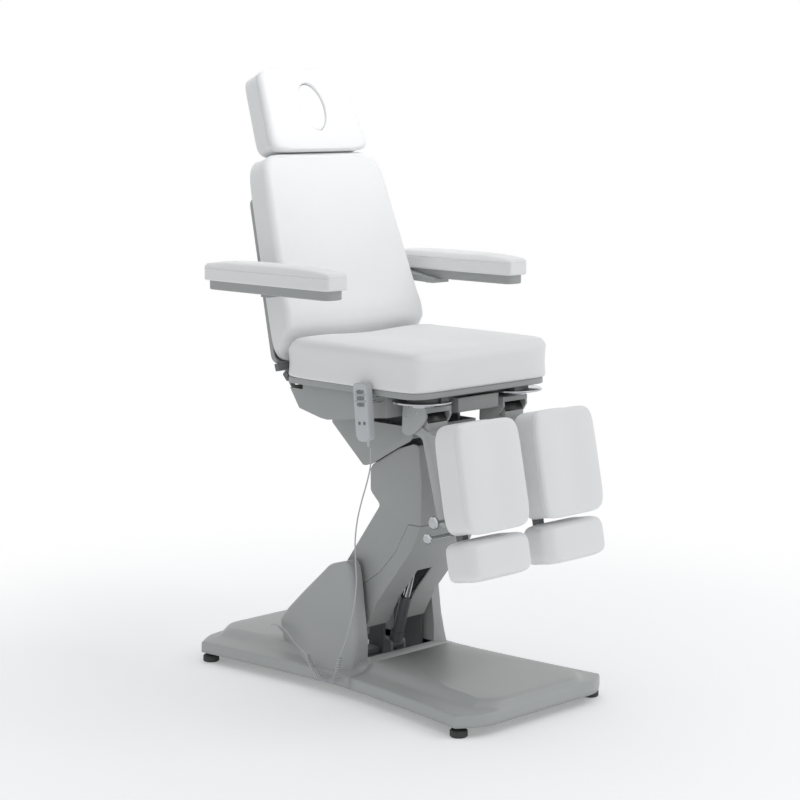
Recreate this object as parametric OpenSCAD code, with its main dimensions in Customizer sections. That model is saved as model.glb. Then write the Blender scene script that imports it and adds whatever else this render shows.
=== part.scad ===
// Podiatry chair: a powered column on a waisted base carries a tilting seat, a reclining
// back with headrest, two folding armrests and two separate leg rests.
// Millimetres, Z up, floor at zero, the occupant faces -Y. The base is centred on the origin.

/* [Base] */
// Distance between the base's corners, front to back
base_len = 1090; // [900:10:1300]
// How far the front and rear edges bow out past the corners
base_bow = 52; // [30:1:80]
// Half width of the base at its corners
base_half = 303; // [290:1:340]
// Half width at the waist, where the two covers meet
waist_half = 251; // [245:1:280]
// Height of the cover's lower edge above the floor
floor_gap = 30; // [26:1:40]
// Height of the outer side wall
side_h = 34; // [30:1:45]
// Height of the raised middle of the cover above the floor
plateau_z = 92; // [88:1:110]
// Wall of the moulded covers
wall = 4; // [3:0.5:5]
// Radius of a levelling foot
foot_r = 25; // [18:1:32]

/* [Mast] */
// Height of the mast cover's shoulders
mast_z = 382; // [372:1:420]
// Inner half width between the two shoulders
mast_in = 138; // [136:1:146]
// Thickness of a shoulder
mast_t = 42; // [34:1:52]
// Main pivot of the lift arm, depth
pivot_y = 62; // [56:1:70]
// Main pivot of the lift arm, height
pivot_z = 250; // [242:1:262]

/* [Lift arm] */
// Distance between the lift arm's two main pivots
arm_len = 448; // [440:1:470]
// Lean of the pivot line towards the front, degrees
arm_lean = 29.4; // [28:0.2:31]
// Half width of the arm's covers
arm_half = 122; // [116:1:126]
// Radius of the main pivot pins
pin_r = 14; // [10:1:16]

/* [Seat] */
// Width of the seat cushion
seat_w = 570; // [540:5:590]
// Length of the seat cushion
seat_len = 572; // [560:2:600]
// Thickness of the seat cushion at its edge
seat_t = 112; // [95:1:125]
// Height of the seat cushion's underside above the top pivot
seat_rise = 284; // [280:1:300]
// Thickness of the seat's edge board
board_t = 19; // [15:1:24]

/* [Back] */
// Length of the back cushion
back_len = 610; // [580:2:630]
// Half width of the back cushion at the seat
back_low = 292; // [270:1:296]
// Half width of the back cushion at the top
back_top = 232; // [215:1:250]
// Thickness of the back cushion
back_t = 84; // [70:1:90]
// Depth of the rear shell, with the steel frame inside it
shell_d = 13.7; // [13:0.1:16]
// Recline of the back from upright in the rest pose, degrees
back_lean = 18; // [16:0.5:20]

/* [Head] */
// Length of the head cushion
head_len = 260; // [230:2:280]
// Half width of the head cushion at its lower edge
head_low = 196; // [175:1:205]
// Half width of the head cushion at its upper edge
head_top = 162; // [145:1:175]
// Thickness of the head cushion
head_t = 84; // [70:1:90]
// Half width of the oval face hole
face_half = 50; // [44:1:54]
// Half height of the oval face hole
face_rise = 77; // [66:1:82]

/* [Armrests] */
// Distance of an armrest's middle line from the chair's
armrest_x = 367; // [360:1:380]
// Half width of an armrest pad
armpad_half = 45; // [38:1:50]
// Length of an armrest pad
armpad_len = 541; // [480:1:560]
// Height of an armrest pad's side wall
armpad_t = 47; // [38:1:52]
// Height of the tray below the pad
tray_h = 27; // [22:1:30]

/* [Legs] */
// Distance of a leg rest's middle line from the chair's
leg_x = 157; // [154:1:166]
// Half width of the leg cushions
calf_half = 123; // [110:1:126]
// Length of the calf cushion
calf_len = 304; // [270:1:306]
// Thickness of the calf cushion
calf_t = 95; // [75:1:98]
// Radius of the chromed swivel disc
disc_r = 85; // [76:1:90]
// Lean of the leg rest from upright in the rest pose, degrees
leg_lean = 11; // [8:0.5:14]
// Length of the foot cushion along the leg
foot_len = 108; // [90:1:114]
// Thickness of the foot cushion
foot_t = 84; // [70:1:90]

/* [Handset] */
// Width of the handset
handset_w = 58; // [50:1:66]
// Length of the handset
handset_len = 164; // [140:1:180]
// Thickness of the handset
handset_t = 20; // [16:1:24]
// Thickness of its cable
cord_d = 4; // [3.2:0.1:4.4]
// Outer diameter of the curled stretch
curl_d = 15; // [13:0.5:16]

/* [Hidden] */

// Overrun of every cut past the faces it opens
over = 1;
// Gap between soft or moulded pieces on different bodies
gap = 0.4;
// Radial clearance of pins and sleeves that turn or slide
fit = 0.05;
// Steel plate and smaller wall thicknesses
plate = 8;
thin = 3;

// Colours as the photograph shows them
shell_grey = [0.60, 0.61, 0.60];
cover_grey = [0.55, 0.56, 0.55];
pad_white = [0.90, 0.90, 0.90];
steel = [0.42, 0.43, 0.44];
chrome = [0.80, 0.80, 0.82];
black = [0.10, 0.10, 0.10];
key_grey = [0.45, 0.46, 0.48];

// General shapes

function unit(v) = v / norm(v);

// Points of an arc that rounds the corner b between a and c
function corner(a, b, c, r, n) =
  let(u = unit(a - b), w = unit(c - b), half = acos(u * w) / 2,
      m = b + unit(u + w) * r / sin(half), p = b + u * r / tan(half) - m,
      q = b + w * r / tan(half) - m, start = atan2(p.y, p.x),
      turn = ((atan2(q.y, q.x) - start + 540) % 360) - 180)
  [for (i = [0 : n]) m + r * [cos(start + turn * i / n), sin(start + turn * i / n)]];

// A closed outline with each corner rounded to its own radius
function rounded(points, radii, n = 5) =
  let(k = len(points))
  [for (i = [0 : k - 1]) each radii[i] > 0
    ? corner(points[(i + k - 1) % k], points[i], points[(i + 1) % k], radii[i], n)
    : [points[i]]];

// The same corner radius all round
function evenly(points, r) = rounded(points, [for (p = points) r]);

function box_points(x0, y0, x1, y1) = [[x0, y0], [x1, y0], [x1, y1], [x0, y1]];

// Extrudes an outline drawn in Y and Z between two planes of X
module across(x0, x1)
  translate([x0, 0, 0]) rotate([90, 0, 90]) linear_extrude(x1 - x0) children();

// A round bar along X, given by its place in Y and Z
module bar_x(p, r, x0, x1)
  translate([x0, p.x, p.y]) rotate([0, 90, 0]) cylinder(r = r, h = x1 - x0, $fn = 48);

// A block between two corners
module block(a, b) translate(a) cube(b - a);

module both_sides() {
  children();
  mirror([1, 0, 0]) children();
}

// A closed skin through rings of points, each ring anticlockwise seen from its far end
module skin(rings) {
  n = len(rings[0]);
  m = len(rings);
  sides = [for (j = [0 : m - 2], i = [0 : n - 1])
    let(a = j * n + i, b = j * n + (i + 1) % n)
    each [[a, a + n, b + n], [a, b + n, b]]];
  polyhedron([for (r = rings) each r],
    [[for (i = [0 : n - 1]) i], [for (i = [n - 1 : -1 : 0]) (m - 1) * n + i], each sides]);
}

// A cushion: crowned top, drawn-in sides, flat back. It lies on XY from y = 0 to y = l
rim_shares = [[0.94, 0], [1, 0.1], [0.984, 0.5], [1, 0.84], [0.975, 0.96],
              [0.92, 1], [0.76, 1], [0.5, 1], [0.25, 1]];
// Squareness of each pad's outline: 2 gives an ellipse, 14 nearly square corners
seat_power = 8;
back_power = 10;
head_power = 9;
arm_power = 10;
calf_power = 7;
foot_power = 6;
// How fast a pad's crown falls off towards its edges
side_power = 4;
dish_share = 0.5;
function lobe(a, power) =
  [for (c = [cos(a), sin(a)]) sign(c) * pow(abs(c), 2 / power)];
function crown_of(q, crown, dish) =
  crown * (1 - pow(q.x, side_power)) * (1 - pow(q.y, side_power))
  - dish * exp(-pow(q.x / dish_share, 2)) * (1 - pow(q.y, side_power));
function cushion_point(q, h, w0, w1, l, t, crown, dish, falls, shear) =
  let(y = l * (1 + q.y) / 2, f = lookup(y / l, falls),
      z = h * t * f + (h == 1 ? crown_of(q, crown, dish) * f : 0))
  [q.x * (w0 + (w1 - w0) * y / l), y - shear * z * (1 - y / l), z];
module cushion(power, w0, w1, l, t, crown, dish, steps = 32, falls = [[0, 1], [1, 1]], shear = 0) {
  rings = [for (r = rim_shares) [for (i = [0 : steps - 1])
    cushion_point(lobe(360 * i / steps, power) * r[0], r[1], w0, w1, l, t, crown, dish, falls,
                  shear)]];
  m = len(rings);
  pts = [for (r = rings) each r,
    cushion_point([0, 0], 0, w0, w1, l, t, crown, dish, falls, shear),
    cushion_point([0, 0], 1, w0, w1, l, t, crown, dish, falls, shear)];
  bottom = m * steps;
  polyhedron(pts, [
    for (j = [0 : m - 2], i = [0 : steps - 1])
      let(a = j * steps + i, b = j * steps + (i + 1) % steps)
      each [[a, a + steps, b + steps], [a, b + steps, b]],
    for (i = [0 : steps - 1]) [bottom, i, (i + 1) % steps],
    for (i = [0 : steps - 1])
      [bottom + 1, (m - 1) * steps + (i + 1) % steps, (m - 1) * steps + i]]);
}

// Base. The outline is waisted along the sides and bowed at the ends. It starts at the middle
// of the front, from where all of it is in sight
corner_y = base_len / 2;
waist_y = -40;
waist_power = 1.3;
feet_x = base_half - foot_r - thin;
feet_y = corner_y - foot_r / 2;
flange_z = floor_gap + side_h;
side_steps = 6;
end_shares = [[1, 0], [0.75, 0.9], [0.4, 0.98], [0, 1], [-0.4, 0.98], [-0.75, 0.9]];
function side_x(y) = waist_half + (base_half - waist_half)
  * pow(abs(y - waist_y) / (corner_y + (y > waist_y ? -waist_y : waist_y)), waist_power);
function base_outline() = [
  for (s = end_shares) if (s.x <= 0) [-s.x * base_half, -corner_y - s.y * base_bow],
  for (i = [0 : side_steps * 2]) let(y = -corner_y + base_len * i / side_steps / 2) [side_x(y), y],
  for (s = end_shares) if (s.y > 0) [s.x * base_half, corner_y + s.y * base_bow],
  for (i = [0 : side_steps * 2 - 1]) let(y = corner_y - base_len * i / side_steps / 2) [-side_x(y), y],
  for (s = end_shares) if (s.x > 0) [-s.x * base_half, -corner_y - s.y * base_bow]];
// Rings of the cover: inset across, inset along, height
flange_w = 66;
slope_w = 30;
rise_w = 22;
edge_in = 5;
nose_in = 8;
nose_drop = 5;
cover_steps = [[0, 0, floor_gap], [0, 0, flange_z - edge_in], [edge_in, edge_in / 2, flange_z],
  [flange_w, edge_in, flange_z + edge_in], [flange_w + slope_w, nose_in, plateau_z - nose_drop],
  [flange_w + slope_w + rise_w, 2 * flange_w, plateau_z]];
function base_ring(step, less, drop) = [for (p = base_outline())
  let(k = 1 - (step[0] + less) / base_half)
  [p.x * k, p.y * (1 - (step[1] + less) / corner_y), step[2] - drop]];
module base_body(less, drop) skin([for (s = cover_steps) base_ring(s, less, drop)]);
// The covers' shell: down the inside, round the lower rim and up the outside
module base_shell() skin([
  for (i = [len(cover_steps) - 1 : -1 : 1]) base_ring(cover_steps[i], wall, wall),
  base_ring([0, 0, floor_gap + wall], wall, wall), for (s = cover_steps) base_ring(s, 0, 0)]);
// Opening between the shoulders of the mast, and the joint between the covers
well_front = -22;
well_rear = 236;
seam_y = -70;
seam_gap = 1;
module base_cover(y0, y1) difference() {
  base_shell();
  block([-mast_in, well_front, flange_z], [mast_in, well_rear, plateau_z + over]);
  block([-base_half - over, y0 - base_len, 0], [base_half + over, y0, plateau_z + over]);
  block([-base_half - over, y1, 0], [base_half + over, y1 + base_len, plateau_z + over]);
}
module base_cover_front() color(shell_grey) base_cover(-base_len, seam_y);
module base_cover_rear() color(shell_grey) base_cover(seam_y + seam_gap, base_len);

// Steel frame: two rails, cross tubes, mast plates with the main bore, lugs for the link
rail_x = 178;
rail_w = 40;
rail_in = 59;
rail_y = corner_y - rail_in;
rail_lift = 4;
rail_z = floor_gap + rail_lift;
rail_h = 26;
cross_in = 56;
cross_ys = [cross_in - rail_y, -60, 150, rail_y - cross_in];
prop_x = 60;
prop_in = 10;
prop_ys = [cross_ys[0], -78, -52, cross_ys[3] - prop_in];
prop_w = 12;
cross_w = 44;
post_x = 128;
post_y0 = 14;
post_y1 = 132;
post_top = 66;
link_step = [10, 23];
main_pivot = [pivot_y, pivot_z];
link_pivot = main_pivot + link_step;
lug_x = 62;
lug_r = 13;
link_pin_r = 8;
top_pin_r = 10;
lug_back = 74;
lug_foot = 46;
motor_pin = [0, 108];
motor_lug_x = 22;
motor_pin_r = 7;
tab_r = 15;
module base_frame() color(steel) difference() {
  union() {
    both_sides() {
      block([rail_x - rail_w / 2, -rail_y, rail_z], [rail_x + rail_w / 2, rail_y, rail_z + rail_h]);
      block([post_x - plate, post_y0, rail_z], [rail_x, post_y1, rail_z + rail_h]);
      across(post_x - plate / 2, post_x + plate / 2) polygon(evenly([
        [post_y0, rail_z], [post_y1, rail_z], [post_y1, pivot_z],
        [pivot_y + pin_r * 2, pivot_z + post_top], [post_y0 + pin_r, pivot_z + post_top],
        [post_y0, pivot_z]], plate));
      across(lug_x, lug_x + plate) polygon([
        [pivot_y + lug_back - lug_foot / 2, rail_z], [pivot_y + lug_back + lug_foot, rail_z],
        [pivot_y + lug_back + lug_foot / 2, pivot_z],
        [link_pivot.x + lug_r, link_pivot.y + lug_r / 2], link_pivot + [0, lug_r],
        link_pivot - [lug_r, 0], [link_pivot.x + lug_r / 2, link_pivot.y - lug_r],
        [pivot_y + lug_back - lug_foot / 2, pivot_z - lug_back / 2]]);
      bar_x(motor_pin, tab_r, motor_lug_x, motor_lug_x + plate);
      block([motor_lug_x, motor_pin.x - tab_r, rail_z],
        [motor_lug_x + plate, motor_pin.x + tab_r, motor_pin.y]);
      for (y = [-feet_y, feet_y])
        translate([feet_x, y, rail_z]) cylinder(r = foot_r * 0.7, h = rail_h / 2, $fn = 32);
      block([rail_x, rail_y - rail_w, rail_z], [feet_x + over, rail_y + rail_w, rail_z + rail_h / 2]);
      block([rail_x, -rail_y - rail_w, rail_z], [feet_x + over, rail_w - rail_y, rail_z + rail_h / 2]);
    }
    for (y = cross_ys)
      block([-rail_x, y - cross_w / 2, rail_z], [rail_x, y + cross_w / 2, rail_z + rail_h]);
    both_sides() for (y = prop_ys) block([prop_x - prop_w / 2, y - prop_w / 2, rail_z],
      [prop_x + prop_w / 2, y + prop_w / 2, plateau_z - wall]);
    block([-motor_lug_x - plate, cross_ys[1], rail_z],
      [motor_lug_x + plate, motor_pin.x + tab_r, rail_z + plate]);
    block([-post_x, pivot_y + lug_back - lug_foot / 2, rail_z],
      [post_x, pivot_y + lug_back + lug_foot, rail_z + plate]);
    bar_x(motor_pin, motor_pin_r, -motor_lug_x - over, motor_lug_x + over);
  }
  both_sides() {
    bar_x(main_pivot, pin_r + fit, post_x - plate, post_x + plate);
    bar_x(link_pivot, link_pin_r + fit, lug_x - over, lug_x + plate + over);
  }
}

// A foot: rubber disc, neck and threaded stem up to the frame
foot_h = 20;
module levelling_feet() color(black)
  for (x = [-feet_x, feet_x], y = [-feet_y, feet_y]) translate([x, y, 0])
    rotate_extrude($fn = 48) polygon([[0, 0], [foot_r - thin, 0], [foot_r, thin],
      [foot_r, foot_h - thin], [foot_r - thin, foot_h], [foot_r / 3, foot_h],
      [foot_r / 3, rail_z], [0, rail_z]]);

// Control box between the rails at the rear
box_w = 220;
box_y0 = 262;
box_y1 = cross_ys[3] - cross_w / 2;
box_h = 44;
module control_box() color(black)
  across(-box_w / 2, box_w / 2) polygon(evenly(box_points(box_y0, rail_z, box_y1, rail_z + box_h), thin));

// Mast cover: two shoulders with flared skirts, joined by a low rear apron
shoulder_shares = [[-0.065, 0], [0, 0.72], [0.02, 0.93], [0.07, 1], [0.27, 0.94], [0.31, 0.9],
                   [0.64, 0.48], [0.85, 0.2], [0.974, 0.01], [0.974, 0]];
shoulder_d = 340;
shoulder_y = -6;
skirt_top = 152;
skirt_shares = [[0, -0.06], [0.62, -0.05], [0.94, 0.16], [0.94, 0.34], [0.6, 0.62],
                [0.25, 0.92], [0, 0.98]];
mast_foot = flange_z - wall;
mast_out = mast_in + mast_t;
skirt_reach = side_x(0) - mast_in - edge_in;
apron_y0 = 262;
apron_y1 = 322;
apron_z = 140;
gland_p = [-160, 316, 116];
gland_r = 7;
gland_len = 30;
gland_lean = 75;
module mast_cover() color(shell_grey) difference() {
  union() {
    both_sides() {
      across(mast_in, mast_out) polygon([for (s = shoulder_shares)
        [shoulder_y + s.x * shoulder_d, skirt_top + s.y * (mast_z - skirt_top) - (s.y == 0 ? thin : 0)]]);
      hull() {
        translate([0, 0, mast_foot]) linear_extrude(thin) polygon([for (s = skirt_shares)
          [mast_in + s.x * skirt_reach, shoulder_y + s.y * shoulder_d]]);
        translate([mast_in, shoulder_y - 0.07 * shoulder_d, skirt_top - thin])
          cube([mast_t, 1.05 * shoulder_d, thin]);
      }
    }
    across(-mast_in - over, mast_in + over) polygon([
      [apron_y0, mast_foot], [apron_y1, mast_foot], [apron_y0 + wall, apron_z], [apron_y0, apron_z]]);
    translate(gland_p) rotate([-gland_lean, 0, 0]) cylinder(r = gland_r, h = gland_len, $fn = 32);
  }
  base_body(-gap, -gap);
}

// Lift arm. Points are given from the main pivot and turn with the arm's lean
top_pivot = main_pivot + arm_len * [-sin(arm_lean), cos(arm_lean)];
top_link = top_pivot + link_step;
// Outline of the covers: shares of the arm's length from the main pivot
arm_shares = [[-0.14, -0.17], [0.02, -0.19], [0.15, -0.1], [0.18, 0.03], [0.049, 0.245],
              [-0.281, 0.681], [-0.19, 0.763], [-0.19, 0.906], [-0.212, 0.939],
              [-0.453, 1.073], [-0.585, 1.116], [-0.634, 1.112], [-0.661, 0.862],
              [-0.656, 0.589], [-0.574, 0.426], [-0.243, 0.018]];
arm_rounds = [20, 20, 20, 30, 60, 12, 22, 10, 8, 30, 20, 12, 40, 30, 30, 40];
arm_outline = rounded([for (s = arm_shares) main_pivot + arm_len * s], arm_rounds);
// The hollow: the same shape less the wall, open at the top
hollow_shares = [[-0.125, -0.19], [0.02, -0.21], [0.3, -0.21], [0.3, 0.08], [0.12, 0.13], [0.04, 0.239],
                 [-0.288, 0.672], [-0.2, 0.768], [-0.2, 0.8], [-0.1, 0.84], [-0.1, 1.3], [-0.64, 1.3],
                 [-0.623, 1.1], [-0.65, 0.862], [-0.645, 0.592], [-0.565, 0.43], [-0.232, 0.02]];
hollow_rounds = [10, 0, 0, 0, 10, 56, 8, 12, 0, 0, 0, 0, 8, 36, 26, 26, 36];
arm_hollow = rounded([for (s = hollow_shares) main_pivot + arm_len * s], hollow_rounds);
// The seam between the covers runs down the side from the front edge to the mast
seam_shares = [[-0.9, 0.6], [-0.54, 0.59], [-0.5, 0.52], [-0.42, 0.385], [-0.27, 0.23],
               [-0.1, 0.12], [0.4, -0.02], [0.5, -0.5], [-0.9, -0.5]];
seam_rounds = [0, 8, 20, 60, 60, 60, 0, 0, 0];
arm_seam = rounded([for (s = seam_shares) main_pivot + arm_len * s], seam_rounds);
notch_half = 30;
notch_top = 356;
notch_y0 = -70;
notch_y1 = 40;
module arm_shell() difference() {
  across(-arm_half, arm_half) polygon(arm_outline);
  across(wall - arm_half, arm_half - wall) polygon(arm_hollow);
  both_sides() bar_x(main_pivot, pin_r * 1.5, arm_half - wall - over, arm_half + over);
}
module arm_rear_cover() color(cover_grey) difference() {
  arm_shell();
  across(-arm_half - over, arm_half + over) polygon(arm_seam);
}
module arm_front_cover() color(cover_grey) difference() {
  intersection() {
    arm_shell();
    across(-arm_half - over, arm_half + over) polygon([for (p = arm_seam) p - [0, seam_gap]]);
  }
  across(-notch_half, notch_half) polygon(rounded([
    [2 * notch_y0, 0], [notch_y1, 0], [notch_y1, pivot_z], [notch_y0, notch_top],
    [2 * notch_y0, notch_top]], [0, 0, 0, plate, 0]));
}

// Steel inside the arm: two side plates, cross tubes, stub axles at both ends
arm_plate_x = 96;
arm_plate_w = 30;
cross_r = 12;
rod_pin = [pivot_y - 157, pivot_z + 150];
rod_lug_r = 22;
rod_hole_r = 12;
lug_t = 10;
bend_share = 0.62;
bend_push = 16;
arm_bend = main_pivot + bend_share * (top_pivot - main_pivot) - [bend_push, 0];
seat_stud_r = 5;
arm_seats = [arm_bend, main_pivot - [pin_r * 2.1, 0]];
module arm_frame() color(steel) difference() {
  union() {
    both_sides() {
      across(arm_plate_x, arm_plate_x + plate) polygon([
        main_pivot + [arm_plate_w, 0], main_pivot + [arm_plate_w / 2, arm_plate_w],
        arm_bend + [arm_plate_w * 0.8, 0], top_pivot + [arm_plate_w, 0],
        top_pivot + [0, arm_plate_w], top_pivot - [arm_plate_w, 0],
        arm_bend - [arm_plate_w, 0], rod_pin - [arm_plate_w / 2, 0],
        main_pivot - [arm_plate_w * 1.25, 0], main_pivot - [0, arm_plate_w]]);
      for (p = arm_seats) bar_x(p, seat_stud_r, arm_plate_x, arm_half - wall);
      bar_x(main_pivot, pin_r, arm_plate_x, post_x + plate);
      bar_x(main_pivot, pin_r * 1.4, arm_plate_x, post_x - plate / 2 - gap);
      bar_x(top_pivot, top_pin_r, carrier_x, arm_plate_x + over);
    }
    bar_x(rod_pin + [cross_r * 2.6, cross_r * 2], cross_r, -arm_plate_x - over, arm_plate_x + over);
    across(-lug_t / 2, lug_t / 2) polygon(evenly([
      rod_pin + [cross_r * 3, cross_r * 3], rod_pin + [cross_r * 3, -cross_r],
      rod_pin + [0, -rod_lug_r], rod_pin - [rod_lug_r, 0], rod_pin + [0, rod_lug_r]], plate));
  }
  bar_x(rod_pin, rod_hole_r, -lug_t, lug_t);
}

// The parallel link keeps the carrier level: two bars, a cross tube and four stub pins
link_x = 50;
link_t = 10;
link_half = 7;
link_rise = unit(top_link - link_pivot);
link_side = [link_rise.y, -link_rise.x] * link_half;
link_tube_r = 8;
link_tube = link_pivot + 0.45 * (top_link - link_pivot);
module parallel_link() color(steel) {
  both_sides() {
    across(link_x, link_x + link_t) polygon([link_pivot + link_side, top_link + link_side,
      top_link - link_side, link_pivot - link_side]);
    bar_x(link_pivot, link_half + thin, link_x, link_x + link_t);
    bar_x(top_link, link_half + thin, link_x, link_x + link_t);
    bar_x(link_pivot, link_pin_r, link_x, lug_x + plate + thin);
    bar_x(top_link, link_pin_r, link_x, carrier_x + plate + thin);
  }
  bar_x(link_tube, link_tube_r, -link_x - over, link_x + over);
}

// An actuator between two points: motor half with its tube, and the rod with a fork
module aim(a, b) translate([0, a.x, a.y]) rotate([-atan2(b.x - a.x, b.y - a.y), 0, 0]) children();
tube_r = 17;
rod_r = 10;
eye_r = 15;
fork_in = 7;
fork_t = 6;
module motor_half(a, b, reach, eye_half, hole_r, head_r) aim(a, b) difference() {
  union() {
    rotate([0, 90, 0]) translate([0, 0, -eye_half]) cylinder(r = eye_r, h = 2 * eye_half, $fn = 48);
    translate([0, 0, eye_r - thin]) cylinder(r = head_r, h = eye_r * 2, $fn = 48);
    translate([0, 0, eye_r]) cylinder(r = tube_r, h = reach - eye_r, $fn = 48);
  }
  rotate([0, 90, 0]) cylinder(r = hole_r, h = 4 * eye_half, center = true, $fn = 48);
  translate([0, 0, eye_r + thin]) cylinder(r = rod_r + fit, h = reach, $fn = 48);
}
module rod_half(a, b, start, hole_r) aim(a, b) {
  span = norm(b - a);
  fork_foot = span - eye_r * 2.4;
  translate([0, 0, start]) cylinder(r = rod_r, h = fork_foot - start + over, $fn = 48);
  translate([0, 0, fork_foot]) cylinder(r = eye_r, h = plate, $fn = 48);
  both_sides() {
    translate([fork_in, 0, span]) rotate([0, 90, 0]) cylinder(r = eye_r - thin, h = fork_t, $fn = 48);
    block([fork_in, thin - eye_r, fork_foot], [fork_in + fork_t, eye_r - thin, span]);
  }
  translate([-fork_in - over, 0, span]) rotate([0, 90, 0])
    cylinder(r = hole_r, h = 2 * (fork_in + over), $fn = 48);
}
lift_reach = 157;
lift_start = 130;
fork_pin_r = 6;
module lift_motor() color(black)
  motor_half(motor_pin, rod_pin, lift_reach, motor_lug_x - gap - over,
    motor_pin_r + fit, tube_r + thin);
module lift_rod() color(chrome) rod_half(motor_pin, rod_pin, lift_start, fork_pin_r);

// Carrier: column plates on the top pivot, a head frame under the seat, and its cover
carrier_x = 74;
column_half = 36;
deck_z = top_pivot.y + 178;
deck_h = 26;
deck_y0 = top_pivot.x - 30;
tilt_pivot = top_pivot + [278, 195];
tilt_r = 8;
column_foot = 60;
ram_pin = top_pivot + [60, 90];
ram_tab = 30;
tab_ys = [top_pivot.x - 28, top_pivot.x + 50];
tab_w = 24;
tab_z = top_pivot.y + 132;
module carrier_frame() color(steel) difference() {
  union() {
    both_sides() {
      across(carrier_x, carrier_x + plate) polygon([
        top_pivot + [-column_half, -link_pin_r], top_pivot + [0, -column_half * 0.6],
        top_pivot + [column_half, 0], top_pivot + [column_half * 1.6, column_foot],
        [top_pivot.x + 3 * column_half, deck_z], [tilt_pivot.x + tilt_r * 2, deck_z],
        tilt_pivot + [tilt_r * 2, 0], tilt_pivot + [0, tilt_r * 2], tilt_pivot - [tilt_r * 2, 0],
        [tilt_pivot.x - 4 * tilt_r, deck_z + deck_h], [deck_y0, deck_z + deck_h],
        [deck_y0, deck_z]]);
      for (y = tab_ys) block([carrier_x, y, tab_z], [carrier_wall, y + tab_w, tab_z + thin]);
    }
    for (y = [deck_y0, tilt_pivot.x - 8 * tilt_r])
      block([-carrier_x - over, y, deck_z], [carrier_x + over, y + deck_h, deck_z + deck_h - plate]);
    bar_x(ram_pin, motor_pin_r, -carrier_x - over, carrier_x + over);
  }
  both_sides() {
    bar_x(top_pivot, top_pin_r + fit, carrier_x - over, carrier_x + plate + over);
    bar_x(top_link, link_pin_r + fit, carrier_x - over, carrier_x + plate + over);
    bar_x(tilt_pivot, tilt_r + fit, carrier_x - over, carrier_x + plate + over);
  }
}
carrier_wall = arm_half + wall;
carrier_shares = [[1, 0.98], [0.99, 0.84], [0.54, 0.16], [0.5, 0.16], [0.42, 0.2],
                  [0.05, 0.57], [-0.12, 0.72], [-0.165, 0.8], [-0.165, 0.98]];
carrier_d = 292;
carrier_h = 162;
function carrier_points(k) = [for (s = carrier_shares)
  top_pivot + [s.x * carrier_d * k, s.y * carrier_h]];
module carrier_cover() color(cover_grey) difference() {
  union() {
    both_sides() across(carrier_wall, carrier_wall + wall) polygon(carrier_points(1));
    across(-carrier_wall - wall, carrier_wall + wall) polygon([
      top_pivot + [carrier_d, 0.98 * carrier_h], top_pivot + [0.99 * carrier_d, 0.84 * carrier_h],
      top_pivot + [0.54 * carrier_d, 0.16 * carrier_h], top_pivot + [0.52 * carrier_d, 0.18 * carrier_h],
      top_pivot + [0.975 * carrier_d, 0.87 * carrier_h],
      top_pivot + [0.985 * carrier_d, 0.98 * carrier_h]]);
    across(-carrier_wall - wall, carrier_wall + wall) polygon([
      top_pivot + [-0.165 * carrier_d, 0.78 * carrier_h], top_pivot + [-0.165 * carrier_d, 0.98 * carrier_h],
      top_pivot + [-0.15 * carrier_d, 0.98 * carrier_h], top_pivot + [-0.15 * carrier_d, 0.8 * carrier_h]]);
  }
}

// Seat. Its places follow from the top pivot
seat_y1 = top_pivot.x + 356;
seat_y0 = seat_y1 - seat_len;
seat_z = top_pivot.y + seat_rise;
board_z = seat_z - board_t;
frame_h = 12;
frame_z = board_z - frame_h;
seat_half = seat_w / 2;
seat_falls_shares = [[0, 0.42], [0.012, 0.62], [0.035, 0.78], [0.07, 0.91], [0.12, 1],
                     [0.97, 1], [0.985, 0.97], [1, 0.9]];
seat_crown = 8;
seat_dish = 14;
module seat_cushion() color(pad_white)
  translate([0, seat_y1, seat_z]) rotate([0, 0, 180])
    cushion(seat_power, seat_half, seat_half, seat_len, seat_t, seat_crown, seat_dish, 32,
            seat_falls_shares);
board_in = 8;
board_r = 56;
module seat_board() color(cover_grey)
  translate([0, 0, board_z + gap]) linear_extrude(board_t - 2 * gap)
    polygon(evenly(box_points(board_in - seat_half, seat_y0 + board_in,
      seat_half - board_in, seat_y1 - board_in), board_r));

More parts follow.
